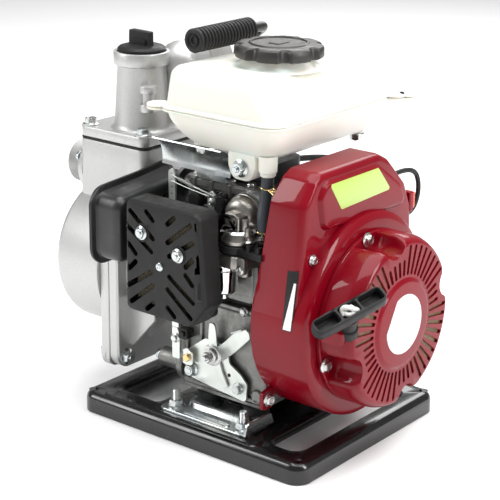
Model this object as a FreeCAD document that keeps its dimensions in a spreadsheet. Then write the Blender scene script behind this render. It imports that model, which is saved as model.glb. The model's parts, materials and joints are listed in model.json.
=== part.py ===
import FreeCAD, Part
import math
import os
import re
import Sketcher

# Engine-driven self-priming water pump: a four-stroke single with a vertical
# cylinder turns a centrifugal pump on the end of its crankshaft.
# Frame: +X along the crank axis toward the recoil starter, the pump at -X,
# the carburettor side at -Y, +Z up, the floor at z = 0.
# All sub-parts are drawn about the middle of the base. At the end each
# Placement moves them so that the origin is under the middle of the machine.

DIMENSIONS = {
    # base
    "base_length": 280, "base_width": 233, "base_height": 21, "sheet_steel": 2,
    "base_corner": 16, "base_edge": 2.5, "foot_hole_radius": 4.25,
    "foot_span_x": 260, "foot_span_y": 213,
    "window_depth": 182, "window_corner": 13,
    "left_window_start": -111, "left_window_width": 52,
    "right_window_start": 82, "right_window_width": 36,
    "step_height": 1.5, "step_start": -114, "step_length": 194,
    "step_width": 18, "step_inset": 7,
    # engine mounting
    "bracket_left": -46, "bracket_length": 110, "bracket_front": 103,
    "bracket_width": 46, "bracket_steel": 2.5, "bracket_floor": 22.6,
    "hump_left": -26, "hump_length": 74, "hump_height": 5, "hump_width": 20,
    "lip_height": 13, "stud_left": -31, "stud_right": 53, "stud_offset": 92,
    "stud_radius": 4, "nut_radius": 8.9, "nut_height": 8, "stud_top": 44,
    "rubber_radius": 13, "rubber_left": -14, "rubber_right": 44,
    "rubber_offset": 60,
    # crankcase and cylinder
    "crank_height": 135, "case_floor": 38, "case_left": -46, "case_right": 58,
    "case_half": 67, "case_top": 175, "case_wall": 8, "bearing_wall": 16, "flange_rise": 7,
    "cover_left": -73, "cover_half": 62, "cover_top": 174,
    "cavity_radius": 39.5, "cylinder_axis": -12, "bore_radius": 27,
    "deck_height": 224, "fin_half_x": 46, "fin_half_y": 46, "fin_count": 6,
    "fin_pitch": 9.5, "fin_thickness": 3, "barrel_radius": 34,
    "head_height": 24, "rocker_height": 18,
    # crank train
    "crank_throw": 20, "journal_radius": 12.5, "pin_radius": 10,
    "web_thickness": 10, "web_radius": 36, "bigend_radius": 14.5,
    "shaft_left": -166, "shaft_right": 126,
    "bearing_outer": 26, "bearing_width": 14, "running_gap": 0.05,
    "cam_y": 27, "cam_z": 99, "cam_radius": 7, "cam_gear_radius": 29.8,
    "crank_gear_radius": 14.9,
    "piston_radius": 26.95, "piston_height": 36, "piston_pin_z": 207,
    # flywheel and starter
    "flywheel_radius": 78, "flywheel_left": 78, "flywheel_width": 14,
    "fan_blade_height": 14, "fan_blades": 14, "cup_radius": 34,
    "blower_radius": 100, "blower_left": 66, "blower_right": 130,
    "blower_skin": 2.5, "shroud_front": 88, "shroud_back": 90,
    "shroud_top": 284, "shroud_left": 74, "shroud_right": 118,
    "starter_radius": 84, "starter_face": 168, "starter_skin": 3,
    "eye_radius": 70, "slot_inner": 48, "slot_outer": 76, "slot_count": 48,
    "slot_width": 3.2, "hub_radius": 40, "pulley_radius": 36,
    "pulley_width": 10, "scallop_radius": 80, "scallop_size": 15,
    "rope_radius": 2.25,
    # tank
    "tank_left": -62, "tank_right": 84, "tank_front": 90, "tank_back": 108,
    "seam_height": 322, "seam_thickness": 5,
    "tank_top": 361, "tank_floor": 285, "tank_skin": 2.5,
    "filler_x": 20, "filler_y": -2, "neck_radius": 27,
    "cap_radius": 43, "cap_height": 13.5, "cap_floor": 369, "cap_notches": 8,
    # pump
    "volute_radius": 79, "volute_left": -215, "volute_skin": 7,
    "flange_left": -145, "flange_right": -133.3, "flange_half": 79,
    "plate_right": -121, "block_left": -207,
    "block_right": -116, "block_front": 42, "block_back": 58,
    "gasket_floor": 259.5, "gasket_thickness": 2.5, "lid_thickness": 11,
    "priming_x": -152, "priming_y": -5, "priming_radius": 24.5,
    "priming_top": 352, "collar_radius": 28.5, "collar_height": 13,
    "outlet_x": -134, "outlet_y": 34, "outlet_z": 335,
    "outlet_radius": 23.9, "outlet_end": 92, "thread_length": 34, "port_radius": 19,
    "suction_z": 222, "suction_left": -244, "suction_radius": 23.9,
    "impeller_radius": 62, "impeller_vanes": 5,
    # clearances
    "seat_gap": 0.3,
}

DOC = FreeCAD.newDocument("water_pump")
SHEET = DOC.addObject("Spreadsheet::Sheet", "Dims")
for row, (alias, amount) in enumerate(DIMENSIONS.items(), start=1):
    SHEET.set("A%d" % row, alias)
    SHEET.set("B%d" % row, str(amount))
    SHEET.setAlias("B%d" % row, alias)
DOC.recompute()

WORDS = re.compile(r"\b[a-z_]+\b")
FUNCTIONS = {"sin", "cos", "sqrt", "pi"}
SUBPARTS = []
VECTOR = FreeCAD.Vector
TURNS = {
    "Z": FreeCAD.Rotation(),
    "X": FreeCAD.Rotation(VECTOR(0, 1, 0), 90),
    "Y": FreeCAD.Rotation(VECTOR(1, 0, 0), -90),
}


def formula(text):
    """The text with each driving dimension written as a sheet reference."""
    def swap(match):
        word = match.group(0)
        return word if word in FUNCTIONS else "Dims." + word
    return WORDS.sub(swap, str(text))


def amount_of(text):
    """The number that a text of driving dimensions stands for."""
    def swap(match):
        word = match.group(0)
        return word if word in FUNCTIONS else "(%r)" % float(DIMENSIONS[word])
    plain = WORDS.sub(swap, str(text))
    return float(FreeCAD.Units.Quantity(plain).Value)


def bind(item, prop, text):
    item.setExpression(prop, formula(text))


def place(item, foot, turn=None):
    item.Placement = FreeCAD.Placement(VECTOR(), turn or FreeCAD.Rotation())
    for letter, text in zip("xyz", foot):
        bind(item, "Placement.Base." + letter, text)
    return item


def box(foot, size):
    item = DOC.addObject("Part::Box", "Block")
    for prop, text in zip(("Length", "Width", "Height"), size):
        bind(item, prop, text)
    return place(item, foot)


def rod(axis, foot, radius, length):
    """A cylinder that starts at foot and runs along +X, +Y or +Z."""
    item = DOC.addObject("Part::Cylinder", "Rod")
    bind(item, "Radius", radius)
    bind(item, "Height", length)
    return place(item, foot, TURNS[axis])


def hexagon(axis, foot, flat_radius, length):
    item = DOC.addObject("Part::Prism", "Hexagon")
    item.Polygon = 6
    bind(item, "Circumradius", flat_radius)
    bind(item, "Height", length)
    return place(item, foot, TURNS[axis])


def joined(*items):
    if len(items) == 1:
        return items[0]
    item = DOC.addObject("Part::MultiFuse", "Union")
    item.Shapes = list(items)
    item.Refine = True
    return item


def without(solid, *tools):
    item = DOC.addObject("Part::Cut", "Difference")
    item.Base = solid
    item.Tool = joined(*tools)
    item.Refine = True
    return item


def subpart(name, *items):
    """One named sub-part, made of one solid or of several separate ones."""
    item = DOC.addObject("Part::Compound", "Piece")
    item.Links = list(items)
    item.Label = name
    SUBPARTS.append(item)
    return item


def shaped(name, shape):
    """A sub-part whose shape is worked out with Part's own functions."""
    item = DOC.addObject("Part::Feature", "Form")
    item.Shape = shape.Solids[0] if len(shape.Solids) == 1 else shape
    item.Label = name
    SUBPARTS.append(item)
    return item


# ---------------------------------------------------------------- sketches

class Design:
    """A PartDesign body whose sketches are tied to the sheet."""

    def __init__(self, name):
        self.body = DOC.addObject("PartDesign::Body", "Body")
        self.body.Label = name
        SUBPARTS.append(self.body)

    def sketch(self, role, offset="0"):
        flat = self.body.newObject("Sketcher::SketchObject", "Sketch")
        planes = self.body.Origin.OriginFeatures
        plane = [item for item in planes if item.Role == role][0]
        flat.AttachmentSupport = (plane, [""])
        flat.MapMode = "FlatFace"
        bind(flat, "AttachmentOffset.Base.z", offset)
        return flat

    def feature(self, kind, flat, length, reverse=False):
        step = self.body.newObject("PartDesign::" + kind, kind)
        step.Profile = flat
        step.Reversed = reverse
        bind(step, "Length", length)
        DOC.recompute()
        return step

    def pad(self, flat, length, reverse=False):
        return self.feature("Pad", flat, length, reverse)

    def pocket(self, flat, length, reverse=False):
        """Cuts along the sketch's own normal unless it is reversed."""
        before = self.body.Shape.Volume
        step = self.feature("Pocket", flat, length, not reverse)
        if step.Shape.Volume > before - 1e-3:
            raise ValueError("a pocket cut nothing in " + self.body.Label)
        return step

    def round_edges(self, kind, radius, chosen):
        tip = self.body.Tip
        names = ["Edge%d" % (index + 1) for index, edge
                 in enumerate(tip.Shape.Edges) if chosen(edge)]
        step = self.body.newObject("PartDesign::" + kind, kind)
        step.Base = (tip, names)
        bind(step, "Radius" if kind == "Fillet" else "Size", radius)
        DOC.recompute()
        return step


def fix(flat, constraint, text):
    """Adds a dimension to a sketch and ties it to the sheet."""
    index = flat.addConstraint(constraint)
    flat.setExpression("Constraints[%d]" % index, formula(text))


def rectangle(flat, left, bottom, width, height):
    x, y = amount_of(left), amount_of(bottom)
    w, h = amount_of(width), amount_of(height)
    corners = [(x, y), (x + w, y), (x + w, y + h), (x, y + h)]
    lines = []
    for number in range(4):
        start = VECTOR(*corners[number], 0)
        end = VECTOR(*corners[(number + 1) % 4], 0)
        lines.append(flat.addGeometry(Part.LineSegment(start, end), False))
    for number in range(4):
        following = lines[(number + 1) % 4]
        flat.addConstraint(Sketcher.Constraint("Coincident", lines[number], 2, following, 1))
    for number, way in enumerate(("Horizontal", "Vertical", "Horizontal", "Vertical")):
        flat.addConstraint(Sketcher.Constraint(way, lines[number]))
    fix(flat, Sketcher.Constraint("DistanceX", lines[0], 1, lines[0], 2, w), width)
    fix(flat, Sketcher.Constraint("DistanceY", lines[1], 1, lines[1], 2, h), height)
    fix(flat, Sketcher.Constraint("DistanceX", -1, 1, lines[0], 1, x), left)
    fix(flat, Sketcher.Constraint("DistanceY", -1, 1, lines[0], 1, y), bottom)
    return flat


def circle(flat, x, y, radius):
    middle = VECTOR(amount_of(x), amount_of(y), 0)
    shape = Part.Circle(middle, VECTOR(0, 0, 1), amount_of(radius))
    index = flat.addGeometry(shape, False)
    fix(flat, Sketcher.Constraint("Radius", index, amount_of(radius)), radius)
    fix(flat, Sketcher.Constraint("DistanceX", -1, 1, index, 3, middle.x), x)
    fix(flat, Sketcher.Constraint("DistanceY", -1, 1, index, 3, middle.y), y)
    return flat


def along(direction):
    """Chooses the straight edges that run along X, Y or Z."""
    aim = {"X": VECTOR(1, 0, 0), "Y": VECTOR(0, 1, 0), "Z": VECTOR(0, 0, 1)}[direction]

    def chosen(edge):
        if not isinstance(edge.Curve, Part.Line):
            return False
        return abs(abs(edge.Curve.Direction.dot(aim)) - 1) < 1e-6
    return chosen


def at_height(z):
    """Chooses the edges that lie wholly in the plane at height z."""
    def chosen(edge):
        extent = edge.BoundBox
        return abs(extent.ZMin - z) < 1e-6 and abs(extent.ZMax - z) < 1e-6
    return chosen


def rounded_block(name, foot, size, corner, edge=None):
    """A padded rectangle with rounded upright corners and a softened top."""
    design = Design(name)
    flat = design.sketch("XY_Plane", foot[2])
    rectangle(flat, foot[0], foot[1], size[0], size[1])
    design.pad(flat, size[2])
    design.round_edges("Fillet", corner, along("Z"))
    if edge:
        top = amount_of(foot[2]) + amount_of(size[2])
        design.round_edges("Fillet", edge, at_height(top))
    return design


# ------------------------------------------------------------ free shapes

def value(alias):
    return float(SHEET.get(alias))


def prism(axis, start, length, outline):
    """An outline pushed along X, Y or Z; the outline holds the other two axes."""
    corners = []
    for first, second in outline:
        point = {"X": (start, first, second), "Y": (first, start, second),
                 "Z": (first, second, start)}[axis]
        corners.append(VECTOR(*point))
    face = Part.Face(Part.makePolygon(corners + corners[:1]))
    push = {"X": VECTOR(length, 0, 0), "Y": VECTOR(0, length, 0),
            "Z": VECTOR(0, 0, length)}[axis]
    return face.extrude(push)


def solid_box(low, high):
    size = [high[k] - low[k] for k in range(3)]
    return Part.makeBox(*size, VECTOR(*low))


def solid_rod(start, end, radius, end_radius=None):
    start, end = VECTOR(*start), VECTOR(*end)
    run = end - start
    if end_radius is None or abs(end_radius - radius) < 1e-9:
        return Part.makeCylinder(radius, run.Length, start, run)
    return Part.makeCone(radius, end_radius, run.Length, start, run)


def solid_hex(start, end, flat_radius):
    start, end = VECTOR(*start), VECTOR(*end)
    run = end - start
    turn = FreeCAD.Rotation(VECTOR(0, 0, 1), run)
    corners = []
    for number in range(6):
        angle = math.radians(60 * number)
        local = VECTOR(flat_radius * math.cos(angle), flat_radius * math.sin(angle), 0)
        corners.append(start + turn.multVec(local))
    return Part.Face(Part.makePolygon(corners + corners[:1])).extrude(run)


def tidy(shape):
    """The shape with its co-planar faces merged, where that keeps it sound."""
    merged = shape.removeSplitter()
    return merged if merged.isValid() else shape


def upright_fillet(shape, radius, direction="Z"):
    chosen = along(direction)
    return shape.makeFillet(radius, [edge for edge in shape.Edges if chosen(edge)])


def tube(points, radius, hollow=0, share=0.45):
    """Straight runs joined by tangent arcs; share of a run goes to each arc."""
    points = [VECTOR(*point) for point in points]
    edges = []
    start = points[0]
    for before, corner, after in zip(points, points[1:], points[2:]):
        back, ahead = before - corner, after - corner
        half_turn = (math.pi - back.getAngle(ahead)) / 2
        shorter = min(back.Length, ahead.Length)
        reach = share * shorter
        first = corner + back.normalize() * reach
        last = corner + ahead.normalize() * reach
        bulge = (first + last) * 0.5 - corner
        bend = reach / math.tan(half_turn)
        centre_gap = bend / math.cos(half_turn) - bend
        middle = corner + bulge.normalize() * centre_gap
        edges.append(Part.LineSegment(start, first).toShape())
        edges.append(Part.Arc(first, middle, last).toShape())
        start = last
        print("bend radius %.1f" % bend)
    edges.append(Part.LineSegment(start, points[-1]).toShape())
    spine = Part.Wire(edges)
    heading = edges[0].tangentAt(edges[0].FirstParameter)
    loops = [Part.Wire(Part.makeCircle(radius, points[0], heading))]
    body = spine.makePipeShell(loops, True, False)
    if hollow:
        core = Part.Wire(Part.makeCircle(hollow, points[0], heading))
        body = body.cut(spine.makePipeShell([core], True, False))
    return body


def cap_screw(start, axis, shank, length, head_radius, head_height, flange=0):
    """A hexagon screw: start is under the head, the shank runs along axis."""
    start, axis = VECTOR(*start), VECTOR(*axis)
    top = start - axis * head_height
    seat = start - axis * 1.6
    body = solid_rod(start, start + axis * length, shank)
    body = body.fuse(solid_hex(top, start, head_radius))
    if flange:
        body = body.fuse(solid_rod(seat, start, flange))
    return tidy(body)


def on_circle(radius, degrees, x):
    """A point on a circle about the crank axis, in the plane at x."""
    angle = math.radians(degrees)
    return VECTOR(x, radius * math.cos(angle), CRANK_Z + radius * math.sin(angle))


CRANK_Z = value("crank_height")
# direction of the starter rope where it leaves the cover, and its exit
PULL = VECTOR(0.33, -0.46, 0.82).normalize()
ROPE_EXIT = VECTOR(160.5, -77, 148)
# middles of the bolt scallops, in degrees from +Y toward +Z
NOTCH_ANGLES = (100, 15, -80, -160)
# middle of the carburettor's throat and the tank's four bolts
CARB = VECTOR(36, -79, 0)
# lobes of the tank seam's two ears, as x, y and radius
TANK_EARS = [(-62, -80, 12), (83, 102, 13), (92, 110, 10)]
TANK_BOLTS = [(30, -64), (-28, -56), (-24, 78), (54, 80)]
# air filter cover: its screw in the middle, its two nuts, and the slots of
# one quarter as start and end beside the screw; the rest mirror them
FILTER_MIDDLE = (-16.4, 184.6)
FILTER_NUTS = [(-39, 213), (6, 200)]
FILTER_SLOTS = [((9, 43), (17, 50)), ((9, 25), (37, 47)), ((11, 12), (40, 31)), ((31, 6), (39, 14))]
LOWER_SLOTS_UP = 4
# bolts of the pump lid, as x and y, and of the pump flange, as y and z
LID_BOLTS = [(-198, -33), (-125, -33), (-198, 49), (-125, 49)]
FLANGE_BOLTS = [(-67.5, 47), (67.5, 47), (-67.5, 201), (67.5, 201)]
STUDS = [(x, y) for x in (value("stud_left"), value("stud_right"))
         for y in (-value("stud_offset"), value("stud_offset"))]


# ------------------------------------------------------------------- base

def base_frame():
    """A pressed steel tray: rim, down-turned skirt, two windows, four feet."""
    design = rounded_block("base_frame", ("-base_length/2", "-base_width/2", "0"),
                           ("base_length", "base_width", "base_height"),
                           "base_corner", "base_edge")
    steps = design.sketch("XY_Plane", "base_height")
    rectangle(steps, "step_start", "-base_width/2+step_inset", "step_length", "step_width")
    rectangle(steps, "step_start", "base_width/2-step_inset-step_width",
              "step_length", "step_width")
    design.pad(steps, "step_height")
    under = design.sketch("XY_Plane")
    rectangle(under, "-base_length/2+sheet_steel", "-base_width/2+sheet_steel",
              "base_length-2*sheet_steel", "base_width-2*sheet_steel")
    design.pocket(under, "base_height-sheet_steel")
    windows = design.sketch("XY_Plane")
    rectangle(windows, "left_window_start", "-window_depth/2",
              "left_window_width", "window_depth")
    rectangle(windows, "right_window_start", "-window_depth/2",
              "right_window_width", "window_depth")
    design.pocket(windows, "base_height+step_height")
    half = value("window_depth") / 2
    upright = along("Z")
    design.round_edges("Fillet", "window_corner", lambda edge: upright(edge)
                       and abs(abs(edge.BoundBox.YMin) - half) < 1e-3)
    holes = design.sketch("XY_Plane")
    for side_x in ("-foot_span_x/2", "foot_span_x/2"):
        for side_y in ("-foot_span_y/2", "foot_span_y/2"):
            circle(holes, side_x, side_y, "foot_hole_radius")
    for side_x in ("stud_left", "stud_right"):
        for side_y in ("-stud_offset", "stud_offset"):
            circle(holes, side_x, side_y, "stud_radius+seat_gap")
    design.pocket(holes, "base_height+step_height")


def engine_brackets():
    """Zinc plates on the rim that carry the engine's rubber mounts."""
    plates = []
    for side in (-1, 1):
        outer = "-bracket_front" if side < 0 else "bracket_front-bracket_width"
        hump_y = "-bracket_front+hump_width" if side < 0 else "bracket_front-bracket_width"
        hump_width = "bracket_width-hump_width"
        floor = box(("bracket_left", outer, "bracket_floor"),
                    ("bracket_length", "bracket_width", "bracket_steel"))
        hump = box(("hump_left", hump_y, "bracket_floor"),
                   ("hump_length", hump_width, "bracket_steel+hump_height"))
        lip = box(("bracket_left+bracket_length-bracket_steel", hump_y, "bracket_floor"),
                  ("bracket_steel", hump_width, "lip_height"))
        hollow = box(("hump_left+bracket_steel", hump_y, "bracket_floor"),
                     ("hump_length-2*bracket_steel", hump_width, "hump_height"))
        stud_y = "%d*stud_offset" % side
        holes = [rod("Z", (x, stud_y, "bracket_floor-bracket_steel"),
                     "stud_radius+seat_gap", "3*bracket_steel")
                 for x in ("stud_left", "stud_right")]
        plates.append(without(joined(floor, hump, lip), hollow, *holes))
    subpart("engine_brackets", *plates)


def bracket_studs():
    """Studs through the rim with a flange nut above and a nut below."""
    pieces = []
    for side_x in ("stud_left", "stud_right"):
        for side_y in ("-stud_offset", "stud_offset"):
            seat = "bracket_floor+bracket_steel+0.1"
            stud = rod("Z", (side_x, side_y, "base_height-12"), "stud_radius",
                       "stud_top-base_height+12")
            flange = rod("Z", (side_x, side_y, seat), "nut_radius", "2")
            nut = hexagon("Z", (side_x, side_y, seat), "7.5", "nut_height")
            lower = hexagon("Z", (side_x, side_y, "base_height-sheet_steel-7"), "7.5", "6.5")
            pieces.append(joined(stud, flange, nut, lower))
    subpart("bracket_studs", *pieces)


def rubber_mounts():
    """Rubber buffers between the brackets and the crankcase feet."""
    pieces = []
    for side_x in ("rubber_left", "rubber_right"):
        for side_y in ("-rubber_offset", "rubber_offset"):
            floor = "bracket_floor+bracket_steel+hump_height+0.1"
            pieces.append(rod("Z", (side_x, side_y, floor), "rubber_radius",
                              "case_floor-bracket_floor-bracket_steel-hump_height-0.2"))
    subpart("rubber_mounts", *pieces)


# ----------------------------------------------------------------- engine

def crankcase():
    """Cast case, open toward the pump, with a sump, a bore and a bearing wall."""
    design = Design("crankcase")
    plan = design.sketch("XY_Plane", "case_floor")
    rectangle(plan, "case_left", "-case_half", "case_right-case_left", "2*case_half")
    design.pad(plan, "case_top-case_floor")
    design.round_edges("Fillet", "10", lambda edge: along("Z")(edge)
                       and edge.BoundBox.XMin > value("case_right") - 1)
    foot = design.sketch("XY_Plane", "case_floor")
    rectangle(foot, "case_left", "-case_half-2", "case_right-case_left+2", "2*case_half+4")
    design.pad(foot, "flange_rise")
    cavity = design.sketch("YZ_Plane", "case_left")
    circle(cavity, "0", "crank_height", "cavity_radius")
    design.pocket(cavity, "case_right-case_left-bearing_wall")
    sump = design.sketch("YZ_Plane", "case_left")
    rectangle(sump, "-case_half+case_wall", "case_floor+case_wall",
              "2*case_half-2*case_wall", "crank_height-case_floor-30")
    design.pocket(sump, "case_right-case_left-bearing_wall")
    bearing = design.sketch("YZ_Plane", "case_left")
    circle(bearing, "0", "crank_height", "bearing_outer")
    design.pocket(bearing, "case_right-case_left+5")
    cam_hole = design.sketch("YZ_Plane", "case_left")
    circle(cam_hole, "cam_y", "cam_z", "cam_radius+running_gap")
    design.pocket(cam_hole, "case_right-case_left-case_wall")
    gear_room = design.sketch("YZ_Plane", "case_left")
    circle(gear_room, "cam_y", "cam_z", "cam_gear_radius+1")
    design.pocket(gear_room, "10")
    bore = design.sketch("XY_Plane", "crank_height")
    circle(bore, "cylinder_axis", "0", "bore_radius+1")
    design.pocket(bore, "case_top-crank_height")
    filler = design.sketch("XZ_Plane", "-case_half-2")
    circle(filler, "30", "case_floor+34", "9")
    design.pocket(filler, "case_wall+4")


def crankcase_cover():
    """Side cover that closes the case, carries a bearing and the pump adapter."""
    left, right = value("cover_left"), value("case_left") - value("seat_gap")
    half, top = value("cover_half"), value("cover_top")
    low = value("case_floor") + 4
    form = upright_fillet(solid_box((left, -half, low), (right, half, top)), 14, "X")
    bore = value("bearing_outer")
    form = form.cut(solid_rod((right - value("bearing_width"), 0, CRANK_Z),
                              (right + 1, 0, CRANK_Z), bore))
    form = form.cut(solid_rod((left - 1, 0, CRANK_Z), (right, 0, CRANK_Z), 16))
    form = form.cut(solid_rod((right - 8, value("cam_y"), value("cam_z")),
                              (right + 1, value("cam_y"), value("cam_z")),
                              value("cam_radius") + value("running_gap")))
    form = form.cut(solid_rod((-52, -half - 1, 96), (-52, -49.5, 96), 3.55))
    boss_y, boss_z = -54, 55
    form = form.fuse(solid_rod((left - 9, boss_y, boss_z), (right - 2, boss_y, boss_z), 10.5))
    form = form.cut(solid_rod((left - 10, boss_y, boss_z), (left + 4, boss_y, boss_z), 5))
    shaped("crankcase_cover", tidy(form))
    plug = cap_screw((left - 9.1, boss_y, boss_z), (1, 0, 0), 4.8, 12, 6, 6, 8)
    shaped("oil_drain_plug", plug)


def cylinder_block():
    """Finned barrel on the crankcase deck."""
    floor = "case_top+seat_gap"
    height = "deck_height-case_top-seat_gap"
    barrel = rod("Z", ("cylinder_axis", "0", floor), "barrel_radius", height)
    fins = []
    for number in range(int(value("fin_count"))):
        level = floor + "+%d*fin_pitch" % number
        if number == value("fin_count") - 1:
            level = "deck_height-fin_thickness"
        fins.append(box(("cylinder_axis-fin_half_x", "-fin_half_y", level),
                        ("2*fin_half_x", "2*fin_half_y", "fin_thickness")))
    bore = rod("Z", ("cylinder_axis", "0", "case_top"), "bore_radius", "deck_height-case_top+1")
    subpart("cylinder_block", without(joined(barrel, *fins), bore))


def cylinder_head():
    """Cast head with a combustion recess, two ports and cooling ribs."""
    axis, deck = value("cylinder_axis"), value("deck_height") + value("seat_gap")
    left, right = axis - 46, 50
    front, back = -48, 46
    top = deck + value("head_height")
    form = upright_fillet(solid_box((left, front, deck), (right, back, top)), 5)
    grooves = []
    for number in range(4):
        low = deck + 3.5 + number * 5.5
        grooves.append(solid_box((left - 1, 34, low), (right + 1, back + 1, low + 2.5)))
        grooves.append(solid_box((40, front - 1, low), (right + 1, back + 1, low + 2.5)))
        grooves.append(solid_box((left + 24, front - 1, low), (2, front + 12, low + 2.5)))
    chamber = solid_rod((axis, 0, deck - 1), (axis, 0, deck + 7), 25)
    intake = solid_rod((36, front - 1, deck + 13), (6, 4, deck + 6), 7)
    exhaust = solid_rod((left - 1, -26, deck + 9), (-26, -4, deck + 6), 7.5)
    guides = [solid_rod((x, 0, deck), (x, 0, top + 1), 3) for x in (axis - 12, axis + 12)]
    plug = solid_rod((axis, 13, deck + 6), (axis, 53.8, deck + 18), 6.1)
    form = form.cut(Part.makeCompound(grooves)).cut(chamber)
    form = form.cut(intake).cut(exhaust).cut(plug)
    for guide in guides:
        form = form.cut(guide)
    shaped("cylinder_head", tidy(form))


def rocker_cover():
    axis = value("cylinder_axis")
    floor = value("deck_height") + value("head_height") + 2 * value("seat_gap")
    top = floor + value("rocker_height")
    outer = upright_fillet(solid_box((axis - 40, -32, floor), (axis + 40, 32, top)), 12)
    inner = upright_fillet(solid_box((axis - 37, -29, floor - 1), (axis + 37, 29, top - 3)), 9)
    flange = solid_box((axis - 43, -35, floor), (axis + 43, 35, floor + 3))
    shaped("rocker_cover", tidy(outer.fuse(flange).cut(inner)))


def valves():
    """Intake and exhaust valves, both shut, with their stems in the guides."""
    deck = value("deck_height") + value("seat_gap")
    pieces = []
    for shift in (-12, 12):
        x = value("cylinder_axis") + shift
        head = solid_rod((x, 0, deck + 4.4), (x, 0, deck + 6.8), 10.5)
        stem = solid_rod((x, 0, deck + 6), (x, 0, deck + value("head_height") + 10), 2.8)
        pieces.append(tidy(head.fuse(stem)))
    shaped("valves", Part.makeCompound(pieces))


def spark_plug():
    axis = value("cylinder_axis")
    deck = value("deck_height") + value("seat_gap")
    low = VECTOR(axis, 14, deck + 6.3)
    aim = (VECTOR(axis, 47, deck + 16) - low).normalize()
    thread = solid_rod(low, low + aim * 34, 5.9)
    nut = solid_hex(low + aim * 38.2, low + aim * 45, 9)
    neck = solid_rod(low + aim * 33, low + aim * 39, 5.9)
    insulator = solid_rod(low + aim * 45, low + aim * 57, 4.5)
    shaped("spark_plug", tidy(thread.fuse(neck).fuse(nut).fuse(insulator)))
    return low, aim


def ignition(low, aim):
    """Rubber plug cap with its lead, and the coil beside the flywheel rim."""
    boot_start = low + aim * 45.4
    boot = solid_rod(boot_start, low + aim * 64, 8.5)
    boot = boot.cut(solid_rod(boot_start - aim, low + aim * 57.2, 4.7))
    end = low + aim * 60
    route = [end, (-2, 106, 246), (44, 102, 244), (64, 62, 238), (88, 48, 232), (88, 24.3, 232)]
    lead = tube(route, 3.2)
    shaped("ignition_lead", tidy(boot.fuse(lead)))
    bottom = CRANK_Z + value("flywheel_radius") + 0.8
    core = solid_box((79, -24, bottom), (91, 24, bottom + 9))
    winding = solid_box((78, -14, bottom + 9), (94, 24, bottom + 28))
    shaped("ignition_coil", tidy(core.fuse(winding)))


def intake_elbow():
    """Insulator and elbow between the head's front face and the carburettor."""
    body = solid_box((18, -60, 203), (54, -48.3, 248))
    body = upright_fillet(body, 6, "Y")
    passage = solid_rod((36, -61, 215), (36, -50, 215), 7)
    rise = solid_rod((36, -54, 215), (36, -54, 237), 5.5)
    into = solid_rod((36, -54, 237), (36, -48, 237), 6)
    shaped("intake_elbow", tidy(body.cut(passage).cut(rise).cut(into)))


def crankshaft():
    """Built-up crank with counterweights, drive gear, tapers and threads."""
    throw, web = value("crank_throw"), value("web_radius")
    journal, pin = value("journal_radius"), value("pin_radius")
    axis, thick = value("cylinder_axis"), value("web_thickness")
    pin_half = 10
    pin_z = CRANK_Z + throw
    web_left = axis - pin_half - thick
    web_right = axis + pin_half + thick
    form = solid_rod((-118, 0, CRANK_Z), (web_left, 0, CRANK_Z), journal)
    form = form.fuse(solid_rod((web_right, 0, CRANK_Z), (94, 0, CRANK_Z), journal))
    form = form.fuse(solid_rod((value("shaft_left"), 0, CRANK_Z), (-118, 0, CRANK_Z), 10))
    form = form.fuse(solid_rod((94, 0, CRANK_Z), (value("shaft_right") - 6, 0, CRANK_Z), 8))
    for x in (web_left, axis + pin_half):
        disc = solid_rod((x, 0, CRANK_Z), (x + thick, 0, CRANK_Z), web)
        waist = solid_box((x, -web, CRANK_Z + 2), (x + thick, -17, CRANK_Z + web + 1))
        other = solid_box((x, 17, CRANK_Z + 2), (x + thick, web, CRANK_Z + web + 1))
        form = form.fuse(disc.cut(waist).cut(other))
    form = form.fuse(solid_rod((axis - pin_half, 0, pin_z), (axis + pin_half, 0, pin_z), pin))
    big_end = solid_rod((axis - 9, 0, pin_z), (axis + 9, 0, pin_z), value("bigend_radius"))
    gear = solid_rod((-44, 0, CRANK_Z), (-38, 0, CRANK_Z), value("crank_gear_radius"))
    form = form.fuse(big_end).fuse(gear)
    shaped("crankshaft", tidy(form))


def main_bearings():
    """Two ball bearings as plain rings, a close fit on the journals."""
    pieces = []
    gap = value("running_gap")
    right = value("case_left") - value("seat_gap")
    for start in (right - value("bearing_width") + 0.1, value("case_right") - 14.2):
        end = start + value("bearing_width") - 0.2
        outer = solid_rod((start, 0, CRANK_Z), (end, 0, CRANK_Z), value("bearing_outer") - gap)
        inner = solid_rod((start - 1, 0, CRANK_Z), (end + 1, 0, CRANK_Z),
                          value("journal_radius") + gap)
        pieces.append(outer.cut(inner))
    shaped("main_bearings", Part.makeCompound(pieces))


def camshaft():
    y, z = value("cam_y"), value("cam_z")
    form = solid_rod((-53, y, z), (49, y, z), value("cam_radius"))
    form = form.fuse(solid_rod((-44, y, z), (-38, y, z), value("cam_gear_radius")))
    for start in (14, 26):
        form = form.fuse(solid_rod((start, y, z), (start + 6, y, z), 9.5))
        form = form.fuse(solid_rod((start, y + 3, z), (start + 6, y + 3, z), 8))
    shaped("camshaft", tidy(form))


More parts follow.
